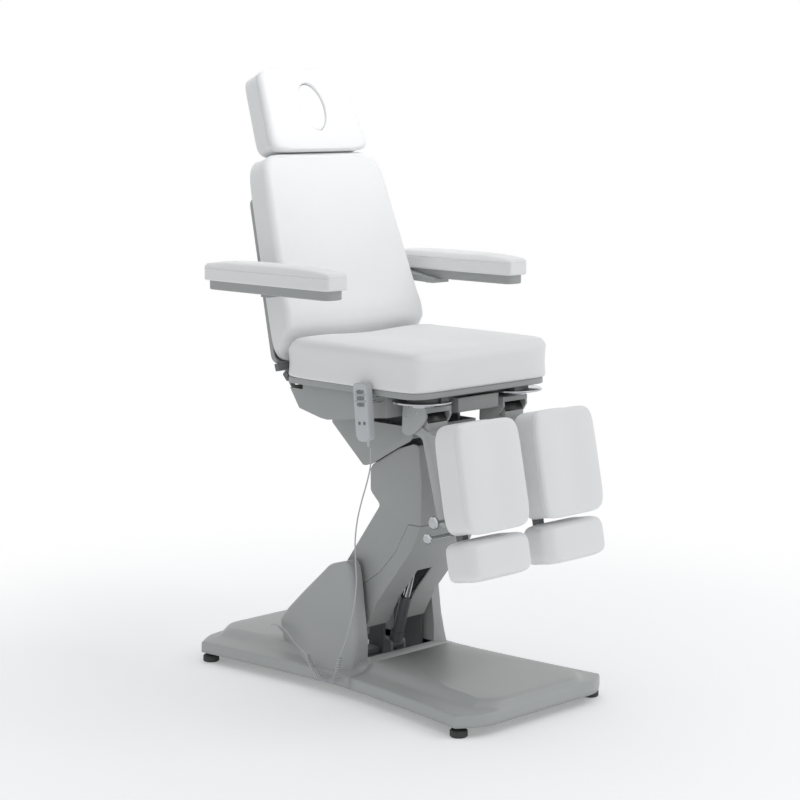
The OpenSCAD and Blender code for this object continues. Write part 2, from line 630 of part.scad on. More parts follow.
// Seat frame: rails, cross bars, tilt lugs, bearings for the leg swivels, lugs for the back
seat_rail_x = 150;
seat_rail_w = 30;
swivel_x = leg_x + 28;
swivel_y = seat_y0 + 74;
bearing_r = 46;
spindle_r = 12;
back_pivot = [seat_y1 + 40, seat_z - 9];
back_pin_r = 9;
back_lug_x = 206;
back_lug_r = 18;
tilt_ram_pin = [top_pivot.x + 100, board_z - 30];
ram_lug_t = 10;
recline_pin = [seat_y0 + 272, board_z - 38];
seat_cross = [seat_y0 + 54, seat_y0 + 250, seat_y1 - 50];
rail_front = 20;
hinge_foot = 90;
hinge_top = 4;
hinge_bar = 30;
pin_play = 3;
module seat_frame() color(steel) difference() {
  union() {
    both_sides() {
      block([seat_rail_x - seat_rail_w / 2, seat_y0 + rail_front, frame_z],
        [seat_rail_x + seat_rail_w / 2, seat_y1 - plate, board_z]);
      block([seat_rail_x, swivel_y - bearing_r, frame_z],
        [swivel_x, swivel_y + bearing_r, board_z]);
      translate([swivel_x, swivel_y, frame_z]) cylinder(r = bearing_r, h = board_z - frame_z, $fn = 48);
      across(back_lug_x, back_lug_x + plate) polygon(evenly([
        [seat_y1 - hinge_foot, frame_z], [back_pivot.x, back_pivot.y - back_lug_r],
        back_pivot + [back_lug_r, 0], back_pivot + [0, back_lug_r],
        [seat_y1 - hinge_top, board_z], [seat_y1 - hinge_foot, board_z]], thin));
      block([seat_rail_x, seat_y1 - hinge_foot, frame_z],
        [back_lug_x + plate, seat_y1 - hinge_bar, board_z]);
      across(carrier_x - plate - thin, carrier_x - thin) polygon([
        tilt_pivot + [-tilt_r * 2, 0], tilt_pivot + [-tilt_r, -tilt_r * 1.6],
        tilt_pivot + [tilt_r, -tilt_r * 1.6], tilt_pivot + [tilt_r * 2, 0],
        [tilt_pivot.x + tilt_r * 3, board_z], [tilt_pivot.x - tilt_r * 3, board_z]]);
      bar_x(tilt_pivot, tilt_r, carrier_x - plate - thin, carrier_x + plate + thin);
    }
    for (y = seat_cross) block([-seat_rail_x, y, frame_z], [seat_rail_x, y + cross_w, board_z]);
    block([-seat_rail_x, tilt_pivot.x - cross_w / 2, frame_z],
      [seat_rail_x, tilt_pivot.x + cross_w / 2, board_z]);
    across(-ram_lug_t / 2, ram_lug_t / 2) polygon([
      tilt_ram_pin + [-eye_r * 1.3, 0], tilt_ram_pin + [0, -eye_r * 1.3], tilt_ram_pin + [eye_r * 1.3, 0],
      [tilt_ram_pin.x + eye_r * 1.6, board_z], [tilt_ram_pin.x - eye_r * 1.6, board_z]]);
    block([-seat_rail_x, tilt_ram_pin.x - cross_w / 2, frame_z + thin],
      [seat_rail_x, tilt_ram_pin.x + cross_w / 2, board_z]);
    translate([recline_x, 0, 0]) {
      both_sides() across(motor_lug_x, motor_lug_x + plate) polygon([
        recline_pin + [-eye_r, 0], recline_pin + [0, -eye_r * 0.8], recline_pin + [eye_r, 0],
        [recline_pin.x + eye_r, board_z], [recline_pin.x - eye_r, board_z]]);
      bar_x(recline_pin, motor_pin_r, -motor_lug_x - over, motor_lug_x + over);
    }
  }
  both_sides() {
    translate([swivel_x, swivel_y, frame_z - over])
      cylinder(r = spindle_r + fit, h = board_z, $fn = 48);
    bar_x(back_pivot, back_pin_r + fit, back_lug_x - over, back_lug_x + plate + over);
  }
  bar_x(tilt_ram_pin, fork_pin_r + pin_play, -ram_lug_t, ram_lug_t);
}

// Pan cover: a tray under the seat with a narrow nose between the leg rests
pan_half = 240;
nose_half = 82;
pan_shares = [[1, 1], [0.9, 0.22], [0.73, 0.02], [0.68, 0], [0.28, 0.3], [0, 0.46], [0, 1]];
pan_d = 549;
pan_h = 98;
pan_y0 = seat_y0 + 34;
pan_top = board_z - gap;
pan_notch = 60;
function pan_points(less) = [for (s = pan_shares)
  [pan_y0 + less + s.x * (pan_d - 2 * less), pan_top - pan_h + s.y * pan_h + (s.y < 1 ? less : over)]];
shoulder_front = seat_y0 + 160;
pan_hole_y0 = top_pivot.x - 52;
pan_hole_y1 = tilt_pivot.x + 30;
hook_y = seat_y0 + 188;
hook_z = board_z - 6;
hook_r = 2;
module pan_body(less) intersection() {
  across(less - pan_half, pan_half - less) polygon(pan_points(less));
  union() {
    block([less - pan_half, shoulder_front + less, 0], [pan_half - less, seat_y1 + 4 * wall, pan_top + over]);
    block([less - nose_half, seat_y0, 0], [nose_half - less, seat_y1, pan_top + over]);
  }
}
slot_half = 26;
module pan_cover() color(cover_grey) {
  difference() {
    pan_body(0);
    pan_body(wall);
    block([-carrier_wall - 2 * wall, pan_hole_y0, 0], [carrier_wall + 2 * wall, pan_hole_y1, frame_z]);
    block([recline_x - slot_half, pan_hole_y1 - over, 0], [recline_x + slot_half, seat_y1 + base_len, pan_top + over]);
    translate([0, 0, pan_top]) linear_extrude(2 * over)
      polygon(box_points(-pan_half, pan_y0 - over, pan_half, seat_y1 + 2 * pan_half));
    both_sides() block([pan_half - wall - over, seat_y1 - pan_notch, frame_z - plate],
      [pan_half + over, seat_y1 + base_len, pan_top + over]);
    block([-seat_rail_x - seat_rail_w / 2 - gap, seat_y0, frame_z - gap],
      [seat_rail_x + seat_rail_w / 2 + gap, shoulder_front + wall + over, pan_top + over]);
    both_sides() block([hinge_x - gap, seat_y1 - wall, frame_z - plate],
      [back_lug_x + plate + wall, seat_y1 + base_len, pan_top + over]);
  }
  translate([handset_x + handset_t / 2 + gap, hook_y, hook_z - thin])
    block([0, 0, 0], [-handset_x - pan_half - handset_t / 2 + wall, 2 * hook_r, thin]);
}

// Tilt actuator, under the front of the seat
tilt_reach = 104;
tilt_start = 20;
module tilt_motor() color(black)
  motor_half(ram_pin, tilt_ram_pin, tilt_reach, ram_tab / 2, motor_pin_r + fit, tube_r + thin);
module tilt_rod() color(chrome) rod_half(ram_pin, tilt_ram_pin, tilt_start, fork_pin_r);

// Back. Its own frame: X across, Y up the back, Z to the front, from the rear lower edge
back_foot = [seat_y1 + 20, seat_z + 30];
module on_back() translate([0, back_foot.x, back_foot.y]) rotate([90 - back_lean, 0, 0]) children();
function to_back(p) = let(q = p - back_foot)
  [q.x * sin(back_lean) + q.y * cos(back_lean), q.y * sin(back_lean) - q.x * cos(back_lean)];
back_falls_shares = [[0, 0.06], [0.02, 0.08], [0.05, 0.26], [0.09, 0.48], [0.12, 0.76],
                     [0.14, 0.97], [0.16, 1], [1, 1]];
back_crown = 8;
back_dish = 13;
module back_cushion() color(pad_white) on_back() translate([0, 0, shell_d + gap])
  cushion(back_power, back_low, back_top, back_len, back_t, back_crown, back_dish, 32, back_falls_shares);
shell_in = 5;
shell_short = 110;
shell_len = back_len - shell_short;
shell_r = 24;
shell_notch = 60;
shell_slot = 50;
sleeve_hole = 50;
function back_half(y) = back_low + (back_top - back_low) * y / back_len;
shell_wall = 1.7;
arm_pivot = back_foot + [70.5, 230];
arm_at = to_back(arm_pivot);
module shell_plan(less) polygon(evenly([
  [shell_in + less - back_half(0), less], [back_half(0) - shell_in - less, less],
  [back_half(shell_len) - shell_in - less, shell_len - less],
  [shell_in + less - back_half(shell_len), shell_len - less]], shell_r - less));
sleeve_r = 9;
module back_shell() color(cover_grey) difference() {
  on_back() difference() {
    linear_extrude(shell_d) shell_plan(0);
    translate([0, 0, shell_wall]) linear_extrude(shell_d) shell_plan(wall);
    both_sides() block([back_lug_x - 3 * plate, -over, -over], [back_lug_x + 2 * plate, shell_notch, shell_d + over]);
    block([recline_x - slot_half, -over, -over], [recline_x + slot_half, shell_slot, shell_d + over]);
    block([-upright_x - upright_w - gap, shell_len - wall - over, steel_z0 - gap],
      [upright_x + upright_w + gap, shell_len + over, shell_d + over]);
  }
  both_sides() bar_x(arm_pivot, sleeve_r + wall, back_half(arm_at.x) - sleeve_hole, back_half(0) + plate);
}
// Steel inside the shell, hinge plates to the seat, sleeves for the armrests and headrest
upright_x = 120;
upright_w = 30;
steel_z0 = 2.4;
steel_z1 = 11.8;
post_sleeve_x = 58;
post_r = 4.2;
hinge_x = back_lug_x - plate - gap;
lever_tip = back_pivot + [26, -38];
recline_x = 110;
lever_hole_r = 14;
arm_shaft_r = 6;
strip_len = 22;
strip_front = 6;
housing_drop = 86;
housing_y = back_len - housing_drop;
housing_len = 46;
housing_half = 140;
housing_z = -24;
steel_y0 = 4;
upright_drop = 70;
crossbar_h = 40;
crossbar_ys = [24, arm_at.x - crossbar_h / 2, back_len - 160];
arm_bar_h = 16;
arm_hole = 30;
arm_sleeve = 44;
post_bar_w = 10;
post_bar_ys = [back_len - 210, back_len - 130];
post_hole_drop = 250;
strip_in = 10;
strip_end = 20;
strip_rear = 10;
strip_low = 4;
// Upper outline of a hinge plate, from the foot of the back
hinge_points = [[14, 46], [0, 44], [-9, 8], [-14, -16]];
module back_frame() color(steel) difference() {
  union() {
    on_back() {
      both_sides() {
        block([upright_x, steel_y0, steel_z0],
          [upright_x + upright_w, back_len - upright_drop, steel_z1]);
        block([upright_x, steel_y0, steel_z0],
          [back_lug_x + plate, steel_y0 + crossbar_h, steel_z1]);
        block([upright_x, arm_at.x - arm_bar_h, steel_z0],
          [back_half(arm_at.x) - arm_hole, arm_at.x + arm_bar_h, steel_z1]);
        block([post_sleeve_x - post_bar_w, post_bar_ys[0], steel_z0],
          [post_sleeve_x + post_bar_w, post_bar_ys[1], steel_z1]);
        block([strip_in - back_low, -strip_len, shell_d - strip_rear],
          [-back_lug_x - strip_end, -gap, shell_d + strip_front]);
      }
      for (y = crossbar_ys)
        block([-upright_x - over, y, steel_z0], [upright_x + over, y + crossbar_h, steel_z1]);
      block([strip_in - back_low, -strip_len, shell_d - strip_rear],
        [back_low - strip_in, -gap - strip_len / 2, shell_d - strip_low]);
      block([-housing_half, housing_y, housing_z], [housing_half, housing_y + housing_len, steel_z1]);
    }
    both_sides() {
      across(hinge_x, hinge_x + plate - gap) polygon([
        back_pivot - [back_lug_r, back_lug_r / 2], back_pivot - [0, back_lug_r],
        back_pivot + [back_lug_r, 0], for (p = hinge_points) back_foot + p]);
      bar_x(back_pivot, back_pin_r, hinge_x, back_lug_x + plate + thin);
      bar_x(arm_pivot, sleeve_r, back_half(arm_at.x) - arm_sleeve, back_half(0) - shell_in);
    }
    bar_x(back_pivot, back_pin_r, -hinge_x - over, hinge_x + over);
    across(recline_x - lug_t / 2, recline_x + lug_t / 2) polygon([back_pivot + [-back_lug_r, back_lug_r / 2],
      back_pivot + [back_lug_r, back_lug_r / 2], lever_tip + [eye_r * 1.4, 0],
      lever_tip + [0, -eye_r * 1.4], lever_tip - [eye_r * 1.4, 0]]);
  }
  both_sides() bar_x(arm_pivot, arm_shaft_r + fit, back_half(arm_at.x) - arm_hole, back_half(0) + over);
  on_back() both_sides() translate([post_sleeve_x, back_len - post_hole_drop, (steel_z0 + steel_z1) / 2])
    rotate([-90, 0, 0]) cylinder(r = post_r + fit, h = back_len, $fn = 32);
  bar_x(lever_tip, lever_hole_r, recline_x - lug_t, recline_x + lug_t);
}
recline_reach = 232;
recline_start = 160;
module recline_motor() color(black) translate([recline_x, 0, 0])
  motor_half(recline_pin, lever_tip, recline_reach, motor_lug_x - gap - over, motor_pin_r + fit, tube_r);
module recline_rod() color(chrome) translate([recline_x, 0, 0])
  rod_half(recline_pin, lever_tip, recline_start, fork_pin_r);

// Headrest: two rods slide in the back, a board tilts on them, a cushion with a face hole
head_at = back_len;
head_z = 26.5;
head_turn = -6.3;
board_d = 8;
rod_rise = 42;
tilt_at = [head_at + rod_rise, 5.5];
barrel_r = 7;
barrel_over = 10;
head_pin_r = 3;
head_pin_len = 12;
head_ear = 12;
ear_round = 5;
post_len = 200;
head_board_in = 12;
head_board_top = 10;
head_board_r = 40;
module head_post() color(chrome) on_back() difference() {
  union() {
    both_sides() {
      translate([post_sleeve_x, tilt_at.x - post_len, (steel_z0 + steel_z1) / 2])
        rotate([-90, 0, 0]) cylinder(r = post_r, h = post_len, $fn = 32);
    }
    translate([-post_sleeve_x - barrel_over, tilt_at.x, tilt_at.y]) rotate([0, 90, 0])
      cylinder(r = barrel_r, h = 2 * (post_sleeve_x + barrel_over), $fn = 48);
  }
  both_sides() translate([post_sleeve_x, tilt_at.x, tilt_at.y]) rotate([0, 90, 0])
    cylinder(r = head_pin_r + fit, h = barrel_over + over, $fn = 32);
}
module on_head() on_back() translate([0, head_at, head_z]) rotate([head_turn, 0, 0]) children();
head_drop = 12;
head_crown = 7;
head_steps = 32;
board_hole = 0.9;
function head_half(y) = head_low + (head_top - head_low) * y / head_len;
module head_board() color(cover_grey) difference() {
  union() {
    on_head() translate([0, 0, -board_d]) linear_extrude(board_d - gap) polygon(evenly([
      [head_board_in - head_half(0), head_board_in], [head_half(0) - head_board_in, head_board_in],
      [head_half(head_len) - head_board_top, head_len - head_board_in],
      [head_board_top - head_half(head_len), head_len - head_board_in]], head_board_r));
    on_back() both_sides() {
      translate([post_sleeve_x + head_ear, tilt_at.x, tilt_at.y]) rotate([0, 90, 0])
        cylinder(r = barrel_r + ear_round, h = plate, $fn = 48);
      block([post_sleeve_x + head_ear, tilt_at.x - head_ear, tilt_at.y],
        [post_sleeve_x + head_ear + plate, tilt_at.x + head_ear, tilt_at.y + barrel_r + board_d / 2]);
      translate([post_sleeve_x + over, tilt_at.x, tilt_at.y]) rotate([0, 90, 0])
        cylinder(r = head_pin_r, h = head_pin_len, $fn = 32);
    }
  }
  on_head() translate([0, head_len * 0.5, -2 * board_d]) linear_extrude(4 * board_d)
    polygon([for (i = [0 : head_steps - 1]) let(a = 360 * i / head_steps)
      [face_half * board_hole * cos(a), face_rise * board_hole * sin(a)]]);
}
// The head cushion is one closed ring of skin: outer rim, then down through the face hole
head_rows_shares = [[0.5, 0], [0.94, 0], [1, 0.1], [0.984, 0.5], [1, 0.82], [0.97, 0.95],
                    [0.9, 1], [0.6, 1], [0.25, 1], [0.04, 0.98], [0, 0.92], [0, 0.5], [0, 0]];
function head_point(a, r) =
  let(o = lobe(a, head_power), y = head_len * (1 + o.y) / 2, yc = head_len / 2,
      outer = [o.x * head_half(y), y], inner = [face_half * cos(a), yc + face_rise * sin(a)],
      p = inner + (outer - inner) * r[0],
      z = r[1] * head_t + (r[1] == 1 ? head_crown * (1 - pow(r[0], 2)) : 0))
  [p.x, p.y - r[0] * head_drop * pow(z / head_t, 3) * (1 - p.y / head_len), z];
module head_cushion() color(pad_white) on_head() {
  rings = [for (r = head_rows_shares) [for (i = [0 : head_steps - 1])
    head_point(360 * i / head_steps, r)]];
  m = len(rings);
  polyhedron([for (r = rings) each r], [for (j = [0 : m - 1], i = [0 : head_steps - 1])
    let(a = j * head_steps + i, b = j * head_steps + (i + 1) % head_steps,
        c = ((j + 1) % m) * head_steps + i, d = ((j + 1) % m) * head_steps + (i + 1) % head_steps)
    each [[a, c, d], [a, d, b]]]);
}
plug_rows_shares = [[0.8, 0.05], [0.97, 0.1], [1, 0.5], [0.97, 0.94], [0.85, 1], [0.5, 1.03]];
plug_gap = 1;
module face_plug() color(pad_white) on_head() {
  rings = [for (r = plug_rows_shares) [for (i = [0 : head_steps - 1]) let(a = 360 * i / head_steps)
    [(face_half - plug_gap) * r[0] * cos(a), head_len / 2 + (face_rise - plug_gap) * r[0] * sin(a),
     r[1] * head_t]]];
  skin(rings);
}

// Armrests, written for the right-hand side of the chair as the photograph shows it (+X)
pad_reach = 445;
pad_rise = 15;
pad_y0 = arm_pivot.x - pad_reach;
pad_z = arm_pivot.y + pad_rise;
pad_crown = 14;
link_disc_r = 22;
link_in = back_low + shell_in;
tray_in = 10;
tray_x0 = armrest_x - armpad_half + tray_in;
tray_x1 = armrest_x + armpad_half - tray_in;
arm_pin_r = 5;
shelf_reach = 150;
shelf_y0 = arm_pivot.x - shelf_reach;
shelf_t = 11;
shaft_in = 28;
module arm_link() {
  bar_x(arm_pivot, arm_shaft_r, back_half(arm_at.x) - shaft_in, link_in + over);
  bar_x(arm_pivot, link_disc_r, link_in, armrest_x - armpad_half - gap);
  bar_x(arm_pivot, link_disc_r / 2, link_in, tray_x0 - gap);
  bar_x(arm_pivot, arm_pin_r, link_in, armrest_x);
  across(link_in + thin, tray_x0 - gap) polygon(evenly([
    arm_pivot + [link_disc_r / 2, -link_disc_r * 0.8], arm_pivot + [0, link_disc_r * 0.6],
    [shelf_y0, pad_z - tray_h - gap], [shelf_y0, pad_z - tray_h - gap - shelf_t]], thin));
  block([link_in + thin, shelf_y0, pad_z - tray_h - gap - shelf_t],
    [armrest_x, shelf_y0 + 3 * shelf_t, pad_z - tray_h - gap]);
}
module arm_tray() difference() {
  translate([0, 0, pad_z - tray_h]) linear_extrude(tray_h - gap) polygon(evenly(box_points(
    tray_x0, pad_y0 + tray_in, tray_x1, pad_y0 + armpad_len - tray_in), armpad_half - 2 * tray_in));
  bar_x(arm_pivot, arm_pin_r + fit, tray_x0 - over, armrest_x + over);
}
module arm_pad() translate([armrest_x, pad_y0, pad_z])
  cushion(arm_power, armpad_half, armpad_half, armpad_len, armpad_t, pad_crown, 0, 24);
module arm_link_left() color(cover_grey) mirror([1, 0, 0]) arm_link();
module arm_link_right() color(cover_grey) arm_link();
module arm_tray_left() color(cover_grey) mirror([1, 0, 0]) arm_tray();
module arm_tray_right() color(cover_grey) arm_tray();
module arm_pad_left() color(pad_white) mirror([1, 0, 0]) arm_pad();
module arm_pad_right() color(pad_white) arm_pad();

// Leg rests, written for +X. The knee axle lies in the hood under the swivel
knee = [swivel_y + 17, frame_z - 75];
knee_r = 7;
disc_t = 5;
disc_z = frame_z - gap - disc_t;
boss_r = 40;
boss_h = 12;
hood_half = 51;
cheek_t = 7.5;
hood_in = hood_half - cheek_t;
hood_top = disc_z - boss_h;
module swivel_disc() {
  translate([swivel_x, swivel_y, disc_z]) cylinder(r = disc_r, h = disc_t, $fn = 96);
  translate([swivel_x, swivel_y, hood_top]) cylinder(r = boss_r, h = boss_h, $fn = 64);
  translate([swivel_x, swivel_y, disc_z]) cylinder(r = spindle_r, h = board_z - disc_z - over, $fn = 48);
}
// Hood over the knee: two quarter cheeks, a top plate, a front bar and the axle
hood_h = hood_top - knee.y - gap;
cheek_shares = [[0.65, 1], [-0.84, 1], [-0.95, 0.55], [-0.72, 0.2], [-0.2, -0.25], [0.12, -0.42],
                [0.42, -0.45], [0.72, -0.35]];
cheek_rounds = [6, 8, 10, 20, 24, 12, 12, 12];
hood_side = rounded([for (s = cheek_shares) knee + hood_h * s], cheek_rounds);
header_d = 13;
header_h = 14;
module knee_hood() {
  for (x = [leg_x - hood_half, leg_x + hood_in]) across(x, x + cheek_t) polygon(hood_side);
  block([leg_x - hood_half, knee.x - 0.93 * hood_h, knee.y + hood_h - header_h],
    [leg_x + hood_half, knee.x - 0.93 * hood_h + header_d, knee.y + hood_h]);
  block([leg_x - hood_half, knee.x - 0.84 * hood_h, knee.y + hood_h - wall],
    [leg_x + hood_half, knee.x + 0.63 * hood_h, knee.y + hood_h]);
  bar_x(knee, knee_r, leg_x - hood_half, leg_x + hood_half);
}

// Leg frame of reference: along the leg, Z up it and Y to the rear, from the knee axle
module on_leg() translate([leg_x, knee.x, knee.y]) rotate([-leg_lean, 0, 0]) children();
calf_back = -146;
calf_top = -4;
arm_w = 43;
plate_t = 7;
leg_shares = [[0.06, -0.04], [0.045, 0.045], [-0.02, 0.058], [-0.165, -0.06], [-0.28, -0.12],
              [-0.507, -0.2], [-0.507, -0.88], [-0.4, -1.0], [-0.21, -1.0], [-0.15, -0.95],
              [-0.09, -0.12]];
leg_rounds = [10, 10, 8, 4, 20, 6, 30, 10, 6, 4, 20];
leg_reach = 286;
tube_u = -85;
slide_r = 11;
knob_v = -266;
clamp_r = 5;
drum_r = 51;
drum_half = 38;
drum_from = -22;
drum_to = 66;
drum_step = 4;
hub_r = 20;
pad_plate_in = 14;
pad_plate_low = 46;
module leg_arm() difference() {
  union() {
    on_leg() across(-arm_w, arm_w) polygon(rounded([for (s = leg_shares) leg_reach * s], leg_rounds));
    on_leg() translate([0, calf_back + plate_t - gap, 0]) rotate([90, 0, 0])
      linear_extrude(plate_t - gap) polygon(evenly(box_points(pad_plate_in - calf_half,
        calf_top - calf_len + pad_plate_in, calf_half - pad_plate_in, calf_top - pad_plate_low), calf_half / 3));
    on_leg() across(-drum_half, drum_half) polygon([[0, 0],
      for (a = [drum_from : drum_step : drum_to]) drum_r * [-cos(a), sin(a)]]);
    bar_x(knee, hub_r, leg_x - arm_w, leg_x + arm_w);
  }
  bar_x(knee, knee_r + fit, leg_x - arm_w - over, leg_x + arm_w + over);
  on_leg() translate([0, tube_u, -leg_reach - over]) cylinder(r = slide_r + fit, h = leg_reach * 0.84, $fn = 48);
  on_leg() bar_x([tube_u, knob_v], clamp_r + fit, 0, arm_w + over);
}
calf_crown = 9;
calf_dish = 9;
module calf_pad() on_leg() translate([0, calf_back, calf_top]) rotate([-90, 0, 0]) mirror([0, 0, 1])
  cushion(calf_power, calf_half, calf_half, calf_len, calf_t, calf_crown, calf_dish, 24);
// Slider: the tube in the leg arm, a yoke and the cross tube that carries the foot cushion
foot_gap = 17;
foot_top = calf_top - calf_len - foot_gap;
foot_axis = [-126, foot_top - foot_len / 2];
slide_top = -92;
yoke_h = 89;
cross_tube_r = 9;
angle_v = foot_axis.y + yoke_h - cross_tube_r - clamp_r - 1;
tube_reach = 60;
module leg_extension() on_leg() {
  translate([0, tube_u, foot_axis.y]) cylinder(r = slide_r, h = slide_top - foot_axis.y, $fn = 48);
  across(-slide_r, slide_r) polygon([foot_axis - [0, cross_tube_r],
    [tube_u + slide_r, foot_axis.y - cross_tube_r], [tube_u + slide_r, foot_axis.y + yoke_h],
    [tube_u - slide_r - thin, foot_axis.y + yoke_h], [tube_u - slide_r - thin, foot_axis.y + yoke_h / 2],
    foot_axis + [0, cross_tube_r]]);
  bar_x(foot_axis, cross_tube_r, -tube_reach, tube_reach);
  bar_x([tube_u, angle_v], clamp_r + 2, -slide_r, arm_w - plate_t);
}
foot_back = foot_axis.x - 13;
foot_crown = 8;
lug_w = 20;
foot_lug_x = 30;
module foot_pad() on_leg() difference() {
  union() {
    translate([0, foot_back, foot_top]) rotate([-90, 0, 0]) mirror([0, 0, 1])
      cushion(foot_power, calf_half, calf_half, foot_len, foot_t, foot_crown, 0, 24);
    for (x = [-foot_lug_x - lug_w, foot_lug_x]) {
      bar_x(foot_axis, cross_tube_r + wall, x, x + lug_w);
      block([x, foot_back - plate, foot_axis.y - cross_tube_r], [x + lug_w, foot_axis.x - cross_tube_r - over,
        foot_axis.y + cross_tube_r]);
    }
  }
  bar_x(foot_axis, cross_tube_r + fit, -tube_reach - over, tube_reach + over);
}
// Clamp knobs with screws: one for the length, one for the foot's angle
knob_r = 19;
knob_t = 12;
length_knob_x = 106;
angle_knob_x = 138;
small_knob_r = 15;
module knob(r) rotate([0, 90, 0]) rotate_extrude($fn = 48)
  polygon([[0, 0], [r - thin, 0], [r, thin], [r - over, knob_t - wall], [r - wall - over, knob_t], [0, knob_t]]);
module length_knob() on_leg() {
  translate([length_knob_x - knob_t, tube_u, knob_v]) knob(knob_r);
  bar_x([tube_u, knob_v], clamp_r, slide_r + gap, length_knob_x - knob_t + over);
}
module angle_knob() on_leg() {
  translate([angle_knob_x - knob_t, tube_u, angle_v]) knob(small_knob_r);
  bar_x([tube_u, angle_v], clamp_r, arm_w - plate_t + gap, angle_knob_x - knob_t + over);
}
module swivel_disc_left() color(chrome) mirror([1, 0, 0]) swivel_disc();
module swivel_disc_right() color(chrome) swivel_disc();
module knee_hood_left() color(cover_grey) mirror([1, 0, 0]) knee_hood();
module knee_hood_right() color(cover_grey) knee_hood();
module leg_arm_left() color(cover_grey) mirror([1, 0, 0]) leg_arm();
module leg_arm_right() color(cover_grey) leg_arm();
module calf_pad_left() color(pad_white) mirror([1, 0, 0]) calf_pad();
module calf_pad_right() color(pad_white) calf_pad();
module leg_extension_left() color(steel) mirror([1, 0, 0]) leg_extension();
module leg_extension_right() color(steel) leg_extension();
module foot_pad_left() color(pad_white) mirror([1, 0, 0]) foot_pad();
module foot_pad_right() color(pad_white) foot_pad();
module length_knob_left() color(chrome) mirror([1, 0, 0]) length_knob();
module length_knob_right() color(chrome) length_knob();
module angle_knob_left() color(chrome) mirror([1, 0, 0]) angle_knob();
module angle_knob_right() color(chrome) angle_knob();

// Handset: hangs at the seat's left edge, its face outwards. Its frame: X out of the face,
// Y towards the chair's rear, Z up, from the middle of the face
handset_x = -300;
handset_y = seat_y0 + 189;
handset_z = seat_z - 65;
handset_lean = -5;
module on_handset() translate([handset_x, handset_y, handset_z]) rotate([handset_lean, 0, 0])
  mirror([1, 0, 0]) children();
handset_round = 22;
well_d = 3;
key_r = 4.5;
key_rise = 1.2;
key_under = 1.4;
button_under = 1.6;
face_edge = 2;
neck_len = 16;
neck_over = 2;
key_rows = [58, 40, 22];
memory_row = -30;
key_pitch = 20;
module handset_plan(less) polygon(rounded(box_points(less - handset_w / 2, less - handset_len / 2,
  handset_w / 2 - less, handset_len / 2 - less),
  [handset_round - less, handset_round - less, handset_round / 2 - less / 2, handset_round / 2 - less / 2]));
module face_plane(x) translate([x, 0, 0]) rotate([90, 0, 90]) children();
module key_wells() {
  for (z = key_rows) face_plane(handset_t / 2 - well_d) translate([0, z, 0])
    linear_extrude(well_d + over) polygon(evenly(box_points(-key_pitch / 2 - key_r - gap, -key_r - gap,
      key_pitch / 2 + key_r + gap, key_r + gap), key_r));
  for (y = [-key_pitch / 2, key_pitch / 2])
    bar_x([y, memory_row], key_r + gap, handset_t / 2 - well_d, handset_t / 2 + over);
}
module handset_shell() color(pad_white) on_handset() difference() {
  union() {
    face_plane(-handset_t / 2) linear_extrude(handset_t - face_edge) handset_plan(0);
    face_plane(handset_t / 2 - face_edge - over) linear_extrude(face_edge + over)
      handset_plan(face_edge);
    translate([0, -handset_w / 5, neck_over - neck_len - handset_len / 2])
      cylinder(r = cord_d, h = neck_len, $fn = 24);
  }
  key_wells();
}
module rocker(z) on_handset()
  face_plane(handset_t / 2 - well_d + key_under) translate([0, z, 0])
    linear_extrude(well_d - key_under + key_rise) polygon(evenly(box_points(-key_pitch / 2 - key_r, -key_r,
      key_pitch / 2 + key_r, key_r), key_r));
module memory_key(y) on_handset()
  bar_x([y, memory_row], key_r, handset_t / 2 - well_d + button_under, handset_t / 2 + key_rise);
module height_rocker() color(key_grey) rocker(key_rows[0]);
module back_rocker() color(key_grey) rocker(key_rows[1]);
module tilt_rocker() color(key_grey) rocker(key_rows[2]);
module memory_key_one() color(key_grey) memory_key(key_pitch / 2);
module memory_key_two() color(key_grey) memory_key(-key_pitch / 2);

// Cable: a straight lead down from the handset, a curled stretch over the base's side, and
// a straight tail along the skirt to the gland
lead_route = [[-300, -211.5, 764], [-300, -212, 745], [-300, -211, 710], [-300, -196, 660],
  [-300, -175, 606], [-299, -156, 548], [-298, -146, 490], [-296, -145, 430], [-292, -144, 370],
  [-287, -130, 300], [-280, -106, 238], [-272, -76, 178], [-266, -52, 140], [-264, -44, 126]];
curl_route = [[-264, -44, 126], [-265, -41, 110], [-268, -38, 90], [-268, -34, 70],
  [-269, -22, 53], [-270, -4, 45], [-272, 18, 46], [-274, 40, 56], [-275, 60, 72],
  [-270, 80, 85], [-258, 100, 92], [-248, 118, 94]];
tail_route = [[-248, 118, 94], [-241, 133, 95], [-231, 165, 100], [-221, 200, 109],
  [-211, 232, 120], [-203, 262, 132], [-197, 290, 137], [-194, 318, 138], [-190, 340, 136],
  [-182, 356, 133], [-172, 361, 130], [-164, 358, 128], [-160, 351, 126], [-160, 345, 124]];
cord_sides = 8;
// A frame that turns with the route, from its direction and a fixed reference
function side_of(d) = unit(cross(d, [1, 0.15, 0]));
function ring_at(p, d, r, n) = let(s = side_of(d), t = cross(d, s))
  [for (i = [0 : n - 1]) p + r * (cos(360 * i / n) * s + sin(360 * i / n) * t)];
function heading(q, i) = unit(q[min(i + 1, len(q) - 1)] - q[max(i - 1, 0)]);
